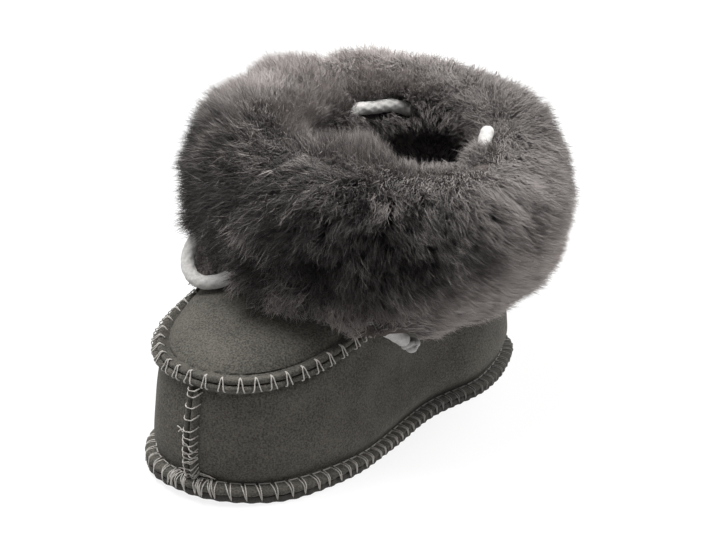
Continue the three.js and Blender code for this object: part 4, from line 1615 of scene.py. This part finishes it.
# Lining
@dataclass
class Lining:
    """The cropped wool inside the foot and the shaft."""

    last: Last
    length: float = 4.5
    hairs: int = 20000
    hair_width: float = 0.45
    seed: int = 19
    columns: int = 160
    rows: int = 24

    def build(self) -> list[Piece]:
        """Lays the wool's matted ground inside the skin and grows the wool on it."""
        return [dress(self._ground(), Finish.GROUND, "wool"), *self._wool().pieces(Finish.LINING, "wool")]

    def _ground(self) -> Piece:
        """The matted ground, a thin layer on the inner face of the skin."""

        def place(column: Array, row: Array) -> Array:
            """Points of the layer's outer face."""
            turn = column / self.columns
            height = 0.4 + (self.last.collar_row - 1.6) * row / self.rows
            return self.last.inside_at(turn, height, gap=0.15)

        piece = close_up(laid_grid("lining_ground", self.columns, self.rows, place))
        layer = piece.modifiers.new("layer", "SOLIDIFY")
        layer.thickness = 0.6 * MM
        layer.offset = -1
        bpy.ops.object.modifier_apply(modifier=layer.name)
        return piece

    def _wool(self) -> Hairs:
        """Grows the wool on the insole and on the inner face of the skin."""
        draw = np.random.default_rng(self.seed)
        turn = draw.random(self.hairs)
        row = draw.uniform(0.3, 8.5, self.hairs)
        out = self.last.out_at(turn, row)
        wall = self.last.skin_at(turn, row) - out * (self.last.skin + 0.1)
        count = self.hairs // 2
        place = draw.random(count)
        sides = [self.last.sole.at(t) - self.last.sole.out(t) * 8.5 for t in (place, 1 - place)]
        ground = blend(*sides, draw.random(count))
        ground[:, 2] = 8.3 + self.last.spring(ground[:, 1])
        root = np.vstack([wall, ground])
        facing = np.vstack([-out, np.tile([0, 0, 1.0], (count, 1))])
        sway = unit(draw.normal(size=root.shape))
        tip = root + facing * self.length * draw.uniform(0.6, 1.1, len(root))[:, None] + sway * 1.6
        middle = (root + tip) / 2 + sway * 0.8
        tone = 0.4 + draw.normal(0, 0.2, len(root))
        return Hairs("lining_wool", root, middle, tip, sway, tone, self.hair_width)


# Studio
@dataclass
class Studio:
    """Camera at the photograph's angle, a pale floor and soft light."""

    image: tuple[int, int] = (721, 556)
    sensor: float = 36.0
    focal_px: float = 2600.0
    camera_at: tuple[float, float, float] = (403.9, -566.5, 375.2)
    forward: tuple[float, float, float] = (-0.5557, 0.7112, -0.4305)
    pan_px: float = 119.0  # turns the view until the shoe stands in the middle of the frame
    floor_size: float = 6000.0
    floor_glow: float = 0.85
    surround: float = 0.265
    aim: tuple[float, float, float] = (0, 0, 40)
    # Name, place, size and power of each light
    lights: tuple = (
        ("overhead", (-260, -120, 1080), 600, 21.5),
        ("back", (420, 620, 900), 600, 18.0),
        ("front", (-800, -420, 380), 500, 1.8),
    )

    def build(self) -> None:
        """Sets up the view, the floor and the light."""
        self._camera()
        self._floor()
        self._lights()

    def _camera(self) -> None:
        """Adds the camera."""
        data = bpy.data.cameras.new("camera")
        data.sensor_width = self.sensor
        data.lens = self.sensor * self.focal_px / self.image[0]
        data.clip_end = 20
        camera = added("camera", data)
        camera.location = Vector(self.camera_at) * MM
        view = Vector(self.forward).to_track_quat("-Z", "Y")
        pan = Quaternion((0, 1, 0), -math.atan2(self.pan_px, self.focal_px))
        camera.rotation_euler = (view @ pan).to_euler()
        bpy.context.scene.camera = camera

    def _floor(self) -> None:
        """Adds the floor."""
        bpy.ops.object.select_all(action="DESELECT")
        bpy.ops.mesh.primitive_plane_add(size=self.floor_size * MM)
        floor = bpy.context.object
        floor.name = "studio_floor"
        material, tree, shader = fresh_material("pale_paper_floor")
        surface = {
            "Base Color": linear("#585858"),
            "Roughness": 0.9,
            "Emission Color": linear("#ffffff"),
            "Emission Strength": self.floor_glow,
        }
        plug(tree, shader, surface)
        floor.data.materials.append(material)

    def _lights(self) -> None:
        """Adds large lights overhead and at the back, a faint one at the inner front and a pale surround."""
        for name, place, size, power in self.lights:
            data = bpy.data.lights.new(name, "AREA")
            data.size = size * MM
            data.energy = power
            light = added(name, data)
            light.location = Vector(place) * MM
            light.rotation_euler = (Vector(self.aim) - Vector(place)).to_track_quat("-Z", "Y").to_euler()
        world = bpy.data.worlds.new("studio_surround")
        world.use_nodes = True
        glow = {"Color": linear("#ffffff"), "Strength": self.surround}
        plug(world.node_tree, world.node_tree.nodes["Background"], glow)
        bpy.context.scene.world = world
        bpy.context.scene.view_settings.view_transform = "Standard"


def main() -> None:
    """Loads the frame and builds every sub-assembly over it."""
    logging.basicConfig(level=logging.INFO, format="%(name)s %(message)s")
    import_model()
    Studio().build()
    last = Last()
    skin = Skin(last)
    cord = Drawstring()
    fur = FurCuff(last, parted_by=cord.open_stretches())
    assemblies = (cord, skin, Sole(last), Sewing(last, skin), Lining(last), fur)
    for assembly in assemblies:
        made = assembly.build()
        LOG.info("%s: %s", type(assembly).__name__, ", ".join(piece.name for piece in made))


if __name__ == "__main__":
    main()
